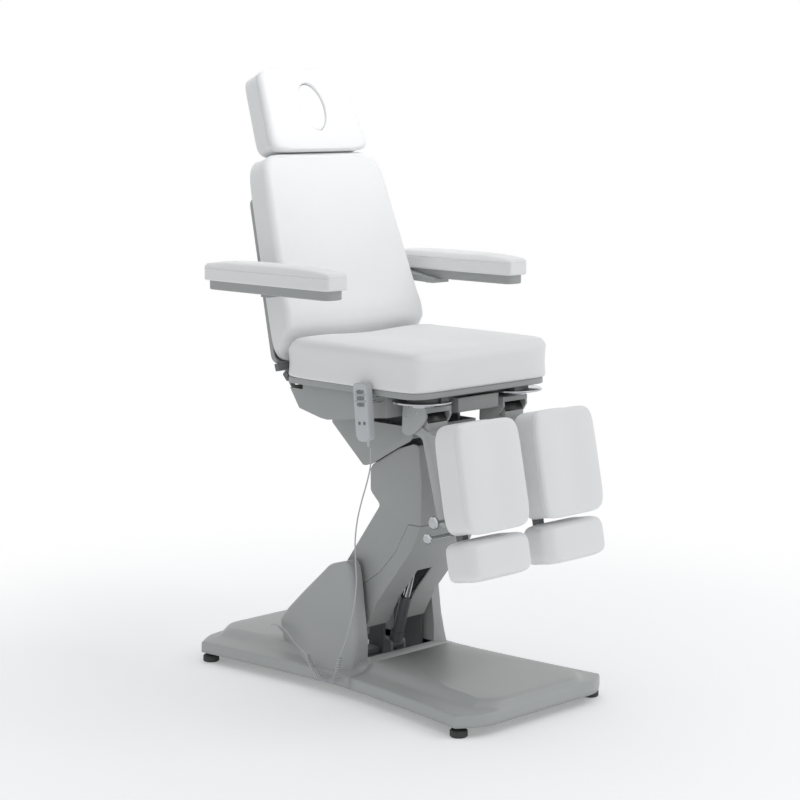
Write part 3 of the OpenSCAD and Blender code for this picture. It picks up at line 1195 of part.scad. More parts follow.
// Smooth points on a route, several to each span
function smooth(q, n) = [for (i = [0 : len(q) - 2], j = [0 : n - 1])
  let(t = j / n, a = q[max(i - 1, 0)], b = q[i], c = q[i + 1], d = q[min(i + 2, len(q) - 1)])
  0.5 * (2 * b + (c - a) * t + (2 * a - 5 * b + 4 * c - d) * t * t
    + (3 * b - 3 * c + d - a) * t * t * t), q[len(q) - 1]];
module cable(q, r, n) skin([for (i = [0 : len(q) - 1]) ring_at(q[i], heading(q, i), r, n)]);
module handset_lead() color(pad_white) cable(smooth(lead_route, 3), cord_d / 2, cord_sides);
module cord_tail() color(pad_white) cable(smooth(tail_route, 3), cord_d / 2, cord_sides);
// The curls: a helix round the route, its radius rising from nothing at both ends
curl_turns = 34;
curl_rings = 8;
curl_sides = 6;
curl_route_fine = smooth(curl_route, 8);
function run(q) = [for (i = 0, s = 0; i < len(q); s = s + (i < len(q) - 1 ? norm(q[i + 1] - q[i]) : 0),
  i = i + 1) s];
curl_run = run(curl_route_fine);
curl_len = curl_run[len(curl_run) - 1];
function at_run(k, s) = lookup(s, [for (i = [0 : len(curl_run) - 1]) [curl_run[i], curl_route_fine[i][k]]]);
function spot(s) = [at_run(0, s), at_run(1, s), at_run(2, s)];
end_share = 0.03;
function curl_point(t) =
  let(s = t * curl_len, p = spot(s), d = unit(spot(min(s + 1, curl_len)) - spot(max(s - 1, 0))),
      u = side_of(d), w = cross(d, u), a = 360 * curl_turns * t,
      r = (curl_d - cord_d) / 2 * min(1, min(t, 1 - t) / end_share))
  p + r * (cos(a) * u + sin(a) * w);
curl_count = curl_turns * curl_rings;
curl_points = [for (i = [0 : curl_count]) curl_point(i / curl_count)];
module curly_cord() color(pad_white) cable(curl_points, cord_d / 2, curl_sides);
// Least distance between neighbouring curls, printed with the route's length
curl_gap = min([for (i = [0 : curl_count - curl_rings - 2], k = [-1 : 2])
  norm(curl_points[i + curl_rings + k] - curl_points[i]) - cord_d]);
echo(least_gap_between_curls = curl_gap, curled_stretch = curl_len);

base_frame();
base_cover_front();
base_cover_rear();
mast_cover();
levelling_feet();
control_box();
arm_frame();
arm_rear_cover();
arm_front_cover();
parallel_link();
lift_motor();
lift_rod();
carrier_frame();
carrier_cover();
seat_frame();
pan_cover();
seat_board();
seat_cushion();
tilt_motor();
tilt_rod();
back_frame();
back_shell();
back_cushion();
recline_motor();
recline_rod();
head_post();
head_board();
head_cushion();
face_plug();
arm_link_left();
arm_link_right();
arm_tray_left();
arm_tray_right();
arm_pad_left();
arm_pad_right();
swivel_disc_left();
swivel_disc_right();
knee_hood_left();
knee_hood_right();
leg_arm_left();
leg_arm_right();
calf_pad_left();
calf_pad_right();
leg_extension_left();
leg_extension_right();
foot_pad_left();
foot_pad_right();
length_knob_left();
length_knob_right();
angle_knob_left();
angle_knob_right();
handset_shell();
height_rocker();
back_rocker();
tilt_rocker();
memory_key_one();
memory_key_two();
handset_lead();
curly_cord();
cord_tail();
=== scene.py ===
# Looks of the podiatry chair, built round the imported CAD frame. Metres, Z up, floor at zero,
# the occupant faces -Y. Every piece lies in the frame's own place.
from math import cos, pi, radians, sin

import bmesh
import bpy
import numpy as np
from mathutils import Matrix, Vector


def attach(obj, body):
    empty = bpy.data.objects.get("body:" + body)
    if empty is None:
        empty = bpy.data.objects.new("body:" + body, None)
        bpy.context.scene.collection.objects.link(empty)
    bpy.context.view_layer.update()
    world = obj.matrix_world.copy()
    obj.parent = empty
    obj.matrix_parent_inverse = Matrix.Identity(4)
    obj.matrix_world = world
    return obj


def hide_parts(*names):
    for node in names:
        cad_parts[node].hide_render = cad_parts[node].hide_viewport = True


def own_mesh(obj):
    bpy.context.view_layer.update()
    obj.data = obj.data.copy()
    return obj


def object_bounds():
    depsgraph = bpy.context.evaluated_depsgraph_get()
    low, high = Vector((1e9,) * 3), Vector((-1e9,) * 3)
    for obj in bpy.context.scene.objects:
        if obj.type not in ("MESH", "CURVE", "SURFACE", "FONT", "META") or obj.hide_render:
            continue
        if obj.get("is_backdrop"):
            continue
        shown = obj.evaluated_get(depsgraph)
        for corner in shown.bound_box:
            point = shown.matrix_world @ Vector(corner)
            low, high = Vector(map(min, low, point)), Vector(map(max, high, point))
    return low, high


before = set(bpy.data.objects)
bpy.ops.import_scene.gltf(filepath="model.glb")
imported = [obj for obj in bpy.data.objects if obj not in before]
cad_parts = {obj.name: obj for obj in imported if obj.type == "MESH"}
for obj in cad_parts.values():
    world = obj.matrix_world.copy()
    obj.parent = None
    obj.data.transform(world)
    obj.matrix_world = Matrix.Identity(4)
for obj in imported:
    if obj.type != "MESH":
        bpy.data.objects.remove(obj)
cad_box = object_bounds()
same_point = 1e-6  # points closer than this are one


def put(name, data):
    """Makes an object of a mesh, a camera or a lamp and links it to the scene."""
    made = bpy.data.objects.new(name, data)
    bpy.context.collection.objects.link(made)
    return made


def aimed(place, way):
    """The matrix of a camera or lamp at a place, its -Z along the way and its Y upwards."""
    return Matrix.Translation(place) @ way.to_track_quat("-Z", "Y").to_matrix().to_4x4()


# Camera. It stands at the front left, about six metres off and at eye height, with a long
# lens, at the photograph's own angle.
camera_at = Vector((-4.1791, -4.2969, 1.7285))
camera_turn, camera_dip, lens_mm, sensor_mm = radians(44.35), radians(8.4), 92.54, 36.0
camera_data = bpy.data.cameras.new("camera")
camera_data.lens, camera_data.sensor_width = lens_mm, sensor_mm
camera = put("camera", camera_data)
sight = Vector((sin(camera_turn) * cos(camera_dip), cos(camera_turn) * cos(camera_dip),
                -sin(camera_dip)))
camera.matrix_world = aimed(camera_at, sight)
bpy.context.scene.camera = camera


def linear(hex_colour):
    """An sRGB hex colour as linear RGBA: c / 12.92 below 0.04045, ((c + 0.055) / 1.055) ^ 2.4 above."""
    c = np.array([int(hex_colour[i:i + 2], 16) for i in (0, 2, 4)]) / 255
    return (*np.where(c <= 0.04045, c / 12.92, ((c + 0.055) / 1.055) ** 2.4), 1.0)


def add_node(tree, kind, values=None, links=None, **settings):
    """Adds a node with its settings, its input values and its links, each from a (node, output)."""
    made = tree.nodes.new(kind)
    for name, value in settings.items():
        setattr(made, name, value)
    for key, value in (values or {}).items():
        made.inputs[key].default_value = value
    for key, (source, output) in (links or {}).items():
        tree.links.new(source.outputs[output], made.inputs[key])
    return made


def blank_material(name):
    """A new material: itself, its node tree, its shader and its object coordinates."""
    made = bpy.data.materials.new(name)
    made.use_nodes = True
    tree = made.node_tree
    return made, tree, tree.nodes["Principled BSDF"], add_node(tree, "ShaderNodeTexCoord")


def noise(tree, place, scale, detail):
    """Noise with that many cells to a metre."""
    return add_node(tree, "ShaderNodeTexNoise", {"Scale": scale, "Detail": detail},
                    {"Vector": (place, "Object")})


def tinted(tree, shader, cloud, low, high):
    """Lets the base colour drift between two linear colours with a cloud's value."""
    tint = add_node(tree, "ShaderNodeMixRGB", {1: low, 2: high}, {0: (cloud, "Fac")})
    tree.links.new(tint.outputs[0], shader.inputs["Base Color"])


def as_piece(name, points, faces):
    """Makes a smooth mesh object from points and a list of faces, with its faces turned outwards."""
    mesh = bpy.data.meshes.new(name)
    mesh.from_pydata(np.asarray(points, float).reshape(-1, 3).tolist(), [], faces)
    shape = bmesh.new()
    shape.from_mesh(mesh)
    bmesh.ops.remove_doubles(shape, verts=shape.verts, dist=same_point)
    bmesh.ops.recalc_face_normals(shape, faces=shape.faces)
    shape.to_mesh(mesh)
    shape.free()
    mesh.polygons.foreach_set("use_smooth", [True] * len(mesh.polygons))
    return put(name, mesh)


def grid_faces(rows, columns):
    """Quads between neighbouring rows of a grid of points, closed round the columns."""
    r, c = np.meshgrid(np.arange(rows - 1), np.arange(columns), indexing="ij")
    a, b = r * columns + c, r * columns + (c + 1) % columns
    return np.stack([a, b, b + columns, a + columns], axis=-1).reshape(-1, 4).tolist()


def closed_faces(rows, columns):
    """The grid's quads and a face over each of its ends."""
    last = (rows - 1) * columns
    return grid_faces(rows, columns) + [list(range(columns)), list(range(last, last + columns))]


def finish(piece, body, slot, material, *nodes):
    """Gives a piece its material and its body and hides the CAD nodes that it stands for. The slot is not
    used.
    """
    piece.data.materials.clear()
    piece.data.materials.append(material)
    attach(piece, body)
    if nodes:
        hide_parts(*nodes)
    return piece


# Cable. A round PVC-jacketed lead hangs from the handset, a curled stretch lies over the base's
# side and a straight tail runs along the skirt into the gland. Moulded in pale grey.
cable_d, curl_d, curl_turns, curl_rings, curl_end_share = 0.004, 0.015, 34, 16, 0.03
cord_steps, cord_sides, curl_sides = 6, 12, 10
# Nearly straight across the chair, so never along a cord, whose rings are squared by it
cord_across = [1, 0.15, 0]
lead_route = np.array([
    [-300, -211.5, 764], [-300, -212, 745], [-300, -211, 710], [-300, -196, 660], [-300, -175, 606],
    [-299, -156, 548], [-298, -146, 490], [-296, -145, 430], [-292, -144, 370], [-287, -130, 300],
    [-280, -106, 238], [-272, -76, 178], [-266, -52, 140], [-264, -44, 126]]) / 1000
curl_route = np.array([
    [-264, -44, 126], [-265, -41, 110], [-268, -38, 90], [-268, -34, 70], [-269, -22, 53],
    [-270, -4, 45], [-272, 18, 46], [-274, 40, 56], [-275, 60, 72], [-270, 80, 85],
    [-258, 100, 92], [-248, 118, 94]]) / 1000
tail_route = np.array([
    [-248, 118, 94], [-241, 133, 95], [-231, 165, 100], [-221, 200, 109], [-211, 232, 120],
    [-203, 262, 132], [-197, 290, 137], [-194, 318, 138], [-190, 340, 136], [-182, 356, 133],
    [-172, 361, 130], [-164, 358, 128], [-160, 351, 126], [-160, 345, 124]]) / 1000


def through(route, steps):
    """Points on the Catmull-Rom curve through a route a, b, c, d: between b and c it is half of
    2b + (c - a) t + (2a - 5b + 4c - d) t^2 + (3b - 3c + d - a) t^3."""
    n = len(route)
    t = np.arange(steps)[None, :, None] / steps
    a, b, c, d = (route[np.clip(np.arange(n - 1) + k, 0, n - 1)][:, None] for k in (-1, 0, 1, 2))
    curve = 0.5 * (2 * b + (c - a) * t + (2 * a - 5 * b + 4 * c - d) * t**2
                   + (3 * b - 3 * c + d - a) * t**3)
    return np.vstack([curve.reshape(-1, route.shape[1]), route[-1:]])


def unit(v):
    """v / |v|, along the last axis."""
    return v / np.linalg.norm(v, axis=-1, keepdims=True)


def running(path):
    """The length run along a path at each of its points."""
    return np.concatenate([[0], np.cumsum(np.linalg.norm(np.diff(path, axis=0), axis=1))])


def tube(name, path, radius, sides):
    """A round tube on a path: each ring is p + r (cos a s + sin a t), s and t square to the path."""
    heading = unit(np.gradient(path, axis=0))
    s = unit(np.cross(heading, cord_across))
    t = np.cross(heading, s)
    a = 2 * pi * np.arange(sides) / sides
    reach = np.broadcast_to(radius, len(path))[:, None, None]
    rings = path[:, None] + reach * (np.cos(a)[:, None] * s[:, None] + np.sin(a)[:, None] * t[:, None])
    return as_piece(name, rings, closed_faces(len(path), sides))


def curls(route, turns, rings, radius, end_share, step=1e-3):
    """A helix round a route, by its length: p + r (cos a u + sin a w), with r rising from nothing at
    both ends."""
    fine = through(route, 8)
    run = running(fine)
    share = np.arange(turns * rings + 1) / (turns * rings)

    def at(distance):
        return np.stack([np.interp(distance, run, fine[:, k]) for k in range(3)], axis=1)

    heading = unit(at(share * run[-1] + step) - at(share * run[-1] - step))
    u = unit(np.cross(heading, cord_across))
    w = np.cross(heading, u)
    a = 2 * pi * turns * share[:, None]
    r = radius * np.minimum(1, np.minimum(share, 1 - share) / end_share)[:, None]
    return at(share * run[-1]) + r * (np.cos(a) * u + np.sin(a) * w)


# Soft PVC jacket, extruded: an even satin skin that catches a thin highlight
cable_pvc, tree, shader, place = blank_material("extruded_pvc_jacket")
tinted(tree, shader, noise(tree, place, 90.0, 2.0), linear("B4B6B7"), linear("C2C4C5"))
shader.inputs["Roughness"].default_value = 0.42


def sleeve(name, at, ahead, radius=0.0034, half=0.007, blunt=0.12, sides=20):
    """A small moulded sleeve on the cord's own way: a tube of radius r sqrt(1 - t^6), blunt at both
    ends."""
    t = np.linspace(-1, 1, 15)
    line = at + t[:, None] * half * unit(ahead - at)
    made = tube(name, line, radius * np.sqrt(np.maximum(1 - t**6, blunt)), sides)
    return finish(made, "base", "cable", cable_pvc)


upper_sleeve = sleeve("cord_sleeve_upper", curl_route[0], lead_route[-2])
lower_sleeve = sleeve("cord_sleeve_lower", tail_route[0], tail_route[1])
lead_path = through(lead_route, cord_steps)
lead = finish(tube("cable_lead", lead_path, cable_d / 2, cord_sides), "base", "cable", cable_pvc,
              "handset_lead")
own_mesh(lead)
curl_path = curls(curl_route, curl_turns, curl_rings, (curl_d - cable_d) / 2, curl_end_share)
curl = finish(tube("cable_curls", curl_path, cable_d / 2, curl_sides), "base", "cable", cable_pvc,
              "curly_cord")
tail_path = through(tail_route, cord_steps)
tail = finish(tube("cable_tail", tail_path, cable_d / 2, cord_sides), "base", "cable", cable_pvc,
              "cord_tail")

# Studio. A pale seamless floor, a white world behind it and four lamps: a wide one above the front
# right, which leaves the left-hand sides in half shade, a weaker one above the back, a faint one on
# the left and a small one aimed at the head cushion.
floor_half, floor_colour, white_from, white_to = 9.0, "F4F5F6", 0.9, 2.4
floor = as_piece("floor", [[-floor_half, -floor_half, 0], [floor_half, -floor_half, 0],
                           [floor_half, floor_half, 0], [-floor_half, floor_half, 0]], [[0, 1, 2, 3]])
floor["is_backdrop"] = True
# Paper sweep: matt, with a little light of its own, and plain white to the camera further out
paper, tree, shader, place = blank_material("seamless_paper")
shader.inputs["Base Color"].default_value = linear(floor_colour)
shader.inputs["Roughness"].default_value = 0.9
shader.inputs["Specular IOR Level"].default_value = 0.0
shader.inputs["Emission Color"].default_value = (1, 1, 1, 1)
shader.inputs["Emission Strength"].default_value = 0.24
away = add_node(tree, "ShaderNodeVectorMath", {}, {0: (place, "Object")}, operation="LENGTH")
far = add_node(tree, "ShaderNodeMapRange", {"From Min": white_from, "From Max": white_to},
               {0: (away, "Value")}, interpolation_type="SMOOTHSTEP")
rays = add_node(tree, "ShaderNodeLightPath")
white = add_node(tree, "ShaderNodeMath", {}, {0: (far, 0), 1: (rays, "Is Camera Ray")},
                 operation="MULTIPLY")
glow = add_node(tree, "ShaderNodeEmission", {"Color": (1, 1, 1, 1), "Strength": 1.0})
sweep = add_node(tree, "ShaderNodeMixShader", {}, {0: (white, 0), 1: (shader, 0), 2: (glow, 0)})
tree.links.new(sweep.outputs[0], tree.nodes["Material Output"].inputs["Surface"])
floor.data.materials.append(paper)

world = bpy.data.worlds.new("world")
bpy.context.scene.world = world
world.use_nodes = True
tree = world.node_tree
tree.nodes.clear()
rays = add_node(tree, "ShaderNodeLightPath")
seen = add_node(tree, "ShaderNodeMath", {}, {0: (rays, "Is Camera Ray"), 1: (rays, "Is Glossy Ray")},
                operation="MAXIMUM")
seen = add_node(tree, "ShaderNodeMath", {}, {0: (seen, 0), 1: (rays, "Is Transmission Ray")},
                operation="MAXIMUM")
plain = add_node(tree, "ShaderNodeBackground", {"Color": (1, 1, 1, 1), "Strength": 1.0})
soft = add_node(tree, "ShaderNodeBackground", {"Color": linear("F4F6F8"), "Strength": 0.56})
both = add_node(tree, "ShaderNodeMixShader", {}, {0: (seen, 0), 1: (soft, 0), 2: (plain, 0)})
add_node(tree, "ShaderNodeOutputWorld", {}, {"Surface": (both, 0)})
for name, place_at, look_at, size, watts, spread in (
        ("key_lamp", (2.2, -3.4, 4.2), (0, 0, 0.8), 3.0, 54, 180),
        ("top_lamp", (0.4, 1.4, 4.4), (0, 0, 0.6), 3.0, 28, 180),
        ("left_lamp", (-4.5, -1.5, 2.4), (0, 0, 0.7), 2.5, 1.5, 180),
        ("head_lamp", (0, -0.6, 2.9), (0, 0.36, 1.70), 0.6, 1.0, 50)):
    lamp_data = bpy.data.lights.new(name, "AREA")
    lamp_data.size, lamp_data.energy, lamp_data.spread = size, watts, radians(spread)
    lamp = put(name, lamp_data)
    lamp.matrix_world = aimed(place_at, Vector(look_at) - Vector(place_at))
bpy.context.scene.view_settings.view_transform = "Standard"


# Base covers. Two vacuum-formed ABS shells with a waisted outline, bowed ends and a raised middle,
# meeting at a seam in front of the mast. Rings run round the outline from the lower rim inwards.
base_half, base_corner, waist_half, waist_y, waist_power = 0.303, 0.545, 0.251, -0.04, 1.3
bow_shares = np.array([[-1, 0], [-0.75, 0.9], [-0.4, 0.98], [0, 1], [0.4, 0.98], [0.75, 0.9], [1, 0]])
base_bow, seam_y, seam_half = 0.052, -0.0695, 0.0005
# Inset at the sides, inset at the ends and height of each ring, in mm
cover_steps = np.array([
    [0, 0, 30], [0, 0, 45], [0.2, 0.2, 56], [1.2, 0.8, 60.5], [3, 1.6, 63.2], [6, 2.5, 64.4],
    [20, 3.2, 65.6], [44, 4, 67.4], [60, 5, 69], [68, 5.6, 70.6], [76, 6.3, 74.6], [88, 7.4, 82.6],
    [95, 8.2, 86.6], [101, 12, 89.4], [108, 34, 91.2], [118, 132, 92]]) / 1000
well = np.array([[-0.138, -0.022], [0.138, 0.236]])
cover_wall, lip_down, cover_sharp = 0.004, 0.022, radians(38)


def base_outline(side_points=40, end_steps=7):
    """The outline, anticlockwise. Each side stands off by waist + (|y - waist_y| / reach)^1.3 of what
    is left to the full half width, and the ends bow out."""
    y = np.linspace(-base_corner, base_corner, side_points)
    reach = np.where(y > waist_y, base_corner - waist_y, base_corner + waist_y)
    x = waist_half + (base_half - waist_half) * (np.abs(y - waist_y) / reach) ** waist_power
    s, swell = through(bow_shares, end_steps)[1:-1].T
    front = np.stack([s * base_half, -base_corner - swell * base_bow], 1)
    rear = -front
    return np.vstack([front, np.stack([x, y], 1), rear, np.stack([-x, y], 1)[::-1]])


def well_point(p):
    """Where the line from the well's middle to p meets the well's edge."""
    middle, half = well.mean(axis=0), (well[1] - well[0]) / 2
    d = p - middle
    return middle + d / np.max(np.abs(d) / half, axis=1, keepdims=True)


rim = base_outline()
rings = np.stack([np.column_stack([rim[:, 0] * (1 - a / base_half), rim[:, 1] * (1 - b / base_corner),
                                   np.full(len(rim), h)]) for a, b, h in cover_steps])
edge = well_point(rings[-1][:, :2])
lip = np.column_stack([edge, np.full(len(rim), cover_steps[-1, 2])])
down = lip - [0, 0, lip_down]
rings = np.concatenate([rings, lip[None], down[None]])


def half_cover(name, keep):
    """The part of the ring surface on one side of the seam, given its wall."""
    made = as_piece(name, rings, grid_faces(len(rings), len(rim)))
    shape = bmesh.new()
    shape.from_mesh(made.data)
    bmesh.ops.bisect_plane(shape, geom=shape.verts[:] + shape.edges[:] + shape.faces[:],
                           dist=same_point, plane_co=(0, seam_y + keep * seam_half, 0),
                           plane_no=(0, keep, 0), clear_inner=True)
    up = sum(f.normal.z * f.calc_area() for f in shape.faces)
    if up < 0:
        bmesh.ops.reverse_faces(shape, faces=shape.faces)
    shape.to_mesh(made.data)
    shape.free()
    made.data.polygons.foreach_set("use_smooth", [True] * len(made.data.polygons))
    skin = made.modifiers.new("wall", "SOLIDIFY")
    skin.thickness, skin.offset = cover_wall, -1
    made.data.set_sharp_from_angle(angle=cover_sharp)
    return made


def moulded_abs(name, light, dark, rough=0.46):
    """Textured ABS: a faint drift of tone over the hand's width and a fine spark-eroded grain."""
    made, tree, shader, place = blank_material(name)
    tinted(tree, shader, noise(tree, place, 7.0, 3.0), linear(dark), linear(light))
    shader.inputs["Roughness"].default_value = rough
    shader.inputs["IOR"].default_value = 1.53
    # Grain of 0.6 mm, drawn at 1.4 mm so that it shows at all
    bump = add_node(tree, "ShaderNodeBump", {"Strength": 0.12, "Distance": 0.0004},
                    {"Height": (noise(tree, place, 700.0, 2.0), "Fac")})
    tree.links.new(bump.outputs[0], shader.inputs["Normal"])
    return made


base_abs = moulded_abs("textured_abs_grey", "B1B3B2", "ABADAC")
finish(half_cover("base_cover_front_shell", -1), "base", "cover", base_abs, "base_cover_front")
finish(half_cover("base_cover_rear_shell", 1), "base", "cover", base_abs, "base_cover_rear")

# Mast cover. One ABS moulding: two upright shoulders that flare into skirts on the base, and a low
# apron behind. Each shoulder is stacked from level rings with a rounded outer edge.
mast_in, mast_out, mast_round, mast_foot, mast_sharp = 0.138, 0.180, 0.013, 0.060, radians(35)
flare_from, flare_to, flare_power, rear_round_share = 0.178, 0.064, 1.45, 0.75
front_line = np.array([[60, -26.4], [149, -28.1], [200, -21.5], [317.6, -6], [345, -2.2], [365.9, 3.6],
                       [376, 10.5], [380.5, 16], [382, 24]]) / 1000
rear_line = np.array([[60, 327], [152, 325], [160, 319], [198, 283], [262.4, 211.6], [340, 121],
                      [352, 108], [360, 96.5], [365.5, 84], [370, 66], [376, 46], [380.5, 33],
                      [382, 24]]) / 1000
foot_line = np.array([[-27, 138], [-26, 200], [-22, 205.5], [0, 224], [30, 237], [54, 240], [110, 240],
                      [150, 228], [205, 203], [260, 180], [307, 165], [322, 152], [327, 138]]) / 1000


def shoulder(side):
    """Level rings: y runs between the front and rear lines, x is the plate less a quarter-round edge,
    eased to the foot line by ((flare_from - z) / reach)^1.45."""
    z = np.concatenate([np.linspace(mast_foot, 0.180, 22), np.linspace(0.188, 0.352, 22),
                        np.linspace(0.356, 0.3815, 14), [0.3819]])
    s = (1 - np.cos(pi * np.linspace(0, 1, 49))) / 2
    front, rear = (np.interp(z, line[:, 0], line[:, 1]) for line in (front_line, rear_line))
    y = front[:, None] + (rear - front)[:, None] * s
    near = np.clip(np.minimum(y - front[:, None], (rear[:, None] - y) * rear_round_share), 0, mast_round)
    plate = mast_out - mast_round + np.sqrt(np.maximum(mast_round**2 - (mast_round - near) ** 2, 0))
    foot = np.interp(y, foot_line[:, 0], foot_line[:, 1])
    ease = np.clip((flare_from - z) / (flare_from - flare_to), 0, 1)[:, None] ** flare_power
    outer = plate + (foot - plate) * ease
    inner = np.full_like(y, mast_in)
    level = np.repeat(z[:, None], len(s), axis=1)
    ring = np.concatenate([np.stack([side * outer, y, level], -1),
                           np.stack([side * inner, y, level], -1)[:, ::-1]], axis=1)
    return ring.reshape(-1, 3), closed_faces(*ring.shape[:2])


def across(profile, x0, x1):
    """A closed profile in Y and Z carried between two planes of X."""
    n = len(profile)
    points = np.concatenate([np.column_stack([np.full(n, x), profile]) for x in (x0, x1)])
    return points, closed_faces(2, n)


def spun(profile, middle, tilt, sides=40):
    """A profile of (radius, height) turned round an axis that leans from Z by a tilt about X."""
    a = 2 * pi * np.arange(sides) / sides
    ring = np.stack([profile[:, :1] * np.cos(a), profile[:, :1] * np.sin(a),
                     np.repeat(profile[:, 1:], sides, axis=1)], -1)
    turn = np.array(Matrix.Rotation(tilt, 3, "X"))
    return ring.reshape(-1, 3) @ turn.T + middle, closed_faces(len(profile), sides)


def turned_x(profile, y, z, sides=28):
    """A profile of (x, radius) turned round a line along X."""
    a = 2 * pi * np.arange(sides) / sides
    ring = np.stack([np.repeat(profile[:, :1], sides, 1), y + profile[:, 1:] * np.cos(a),
                     z + profile[:, 1:] * np.sin(a)], -1)
    return ring.reshape(-1, 3), closed_faces(len(profile), sides)


def joined(parts):
    """One list of points and faces from several."""
    points, faces, first = [], [], 0
    for p, f in parts:
        points.append(np.asarray(p).reshape(-1, 3))
        faces += [[i + first for i in face] for face in f]
        first += len(points[-1])
    return np.vstack(points), faces


apron = np.array([[262, 62], [322, 62], [300, 92], [282, 117], [270, 135], [267, 139], [262, 140]]) / 1000
gland_profile = np.array([[8.2, -6], [8.2, 3], [7.6, 4], [7.0, 6], [6.6, 18], [5.6, 20], [5.0, 22],
                          [4.2, 28], [3.6, 30.5]]) / 1000
apron_lap, gland_at, gland_tilt = 0.001, np.array([-0.160, 0.316, 0.116]), radians(-75)
mast = as_piece("mast_cover_shell", *joined([
    shoulder(1), shoulder(-1), across(apron, -mast_in - apron_lap, mast_in + apron_lap),
    spun(gland_profile, gland_at, gland_tilt)]))
mast.data.set_sharp_from_angle(angle=mast_sharp)
finish(mast, "base", "cover", base_abs, "mast_cover")


# Steel structure. Welded tube and plate under the covers, powder coated grey; the CAD solids keep
# their shape and get the coat. The actuators are dark grey nylon with polished rods.
def powder_coat(name, colour, rough=0.5):
    """Powder coat: an even colour with the orange-peel skin of about 2 mm."""
    made, tree, shader, place = blank_material(name)
    bump = add_node(tree, "ShaderNodeBump", {"Strength": 0.15, "Distance": 0.0005},
                    {"Height": (noise(tree, place, 420.0, 1.0), "Fac")})
    tree.links.new(bump.outputs[0], shader.inputs["Normal"])
    tone = np.array(linear(colour)[:3])
    tinted(tree, shader, noise(tree, place, 12.0, 2.0), (*tone * 0.92, 1), (*tone * 1.06, 1))
    shader.inputs["Roughness"].default_value = rough
    return made


def polished(name, colour, rough):
    """Chrome plate over ground steel: mirror-like, with a faint haze from the grinding."""
    made, tree, shader, place = blank_material(name)
    shader.inputs["Base Color"].default_value = linear(colour)
    shader.inputs["Metallic"].default_value = 1.0
    haze = add_node(tree, "ShaderNodeMapRange", {"To Min": rough * 0.7, "To Max": rough * 1.5},
                    {0: (noise(tree, place, 60.0, 4.0), "Fac")})
    tree.links.new(haze.outputs[0], shader.inputs["Roughness"])
    return made


def dressed(names, material):
    """Gives CAD nodes a material of their own in every slot."""
    for name in names:
        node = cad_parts[name]
        if not node.material_slots:
            node.data.materials.append(material)
        for held in node.material_slots:
            held.material = material


frame_coat = powder_coat("powder_coated_steel", "6E7071")
black_coat = powder_coat("black_nylon", "1C1C1E", 0.42)
rubber = powder_coat("moulded_rubber", "3C3D3D", 0.75)
chrome_plate = polished("chrome_plate", "BFC1C3", 0.13)
dressed(["base_frame", "arm_frame", "parallel_link", "carrier_frame", "seat_frame", "back_frame",
         "leg_extension_left", "leg_extension_right"], frame_coat)
motor_coat = powder_coat("grey_nylon", "58595B", 0.4)
dressed(["control_box"], black_coat)
dressed(["lift_motor", "tilt_motor", "recline_motor"], motor_coat)
dressed(["levelling_feet"], rubber)
dressed(["lift_rod", "tilt_rod", "recline_rod", "head_post"], chrome_plate)


# Rigid covers and castings. Their outlines are the CAD solids' own; the outer edges are eased as a
# mould or a casting has them, so that each edge catches the light.
weld_within, plane_within, flat_angle, eased_sharp = 3e-5, 2e-4, radians(0.4), radians(31)


def eased(node, body, slot, material, groups):
    """A merged copy of a CAD solid with eased edges. Each group is (radius, least angle in degrees,
    choice of edges by their two ends)."""
    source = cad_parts[node]
    shape = bmesh.new()
    shape.from_mesh(source.data)
    shape.transform(source.matrix_world)
    bmesh.ops.remove_doubles(shape, verts=shape.verts, dist=weld_within)
    bmesh.ops.dissolve_limit(shape, angle_limit=flat_angle, verts=shape.verts, edges=shape.edges)
    for radius, least, choose in groups:
        picked = [e for e in shape.edges if len(e.link_faces) == 2
                  and e.calc_face_angle_signed(0.0) > radians(least)
                  and choose(np.array([e.verts[0].co, e.verts[1].co]))]
        if picked:
            bmesh.ops.bevel(shape, geom=picked, offset=radius, offset_type="OFFSET", segments=3,
                            profile=0.5, affect="EDGES", clamp_overlap=True)
    mesh = bpy.data.meshes.new(node + "_moulding")
    shape.to_mesh(mesh)
    shape.free()
    mesh.polygons.foreach_set("use_smooth", [True] * len(mesh.polygons))
    mesh.set_sharp_from_angle(angle=eased_sharp)
    return finish(put(mesh.name, mesh), body, slot, material, node)


def outer_side(x):
    """Edges that lie on the outer side planes at plus or minus x."""
    return lambda ends: bool((np.abs(np.abs(ends[:, 0]) - x) < plane_within).all())


def every_edge(ends):
    """Every edge that is sharp enough."""
    return True


def pan_edges(ends, side=0.2399, nose=0.082):
    """The outermost edges of the pan's sides, and those along both sides of its nose."""
    x = np.abs(ends[:, 0])
    return bool((x > side).all() or (np.abs(x - nose) < plane_within).all())


arm_abs = moulded_abs("textured_abs_arm", "A9ABAA", "A4A6A5")
pan_abs = moulded_abs("textured_abs_pan", "A9ABAA", "A3A5A4")
eased("arm_rear_cover", "lift_arm", "cover", arm_abs, [(0.0045, 30, outer_side(0.122))])
eased("arm_front_cover", "lift_arm", "cover", arm_abs, [(0.0045, 30, outer_side(0.122))])
eased("carrier_cover", "carrier", "cover", arm_abs, [(0.002, 30, outer_side(0.130))])
eased("pan_cover", "seat", "cover", pan_abs, [(0.004, 12, pan_edges)])
eased("seat_board", "seat", "cover", pan_abs, [(0.003, 60, every_edge)])
eased("back_shell", "back", "cover", pan_abs, [(0.0012, 50, every_edge)])
eased("head_board", "headrest", "cover", pan_abs, [(0.0015, 50, every_edge)])


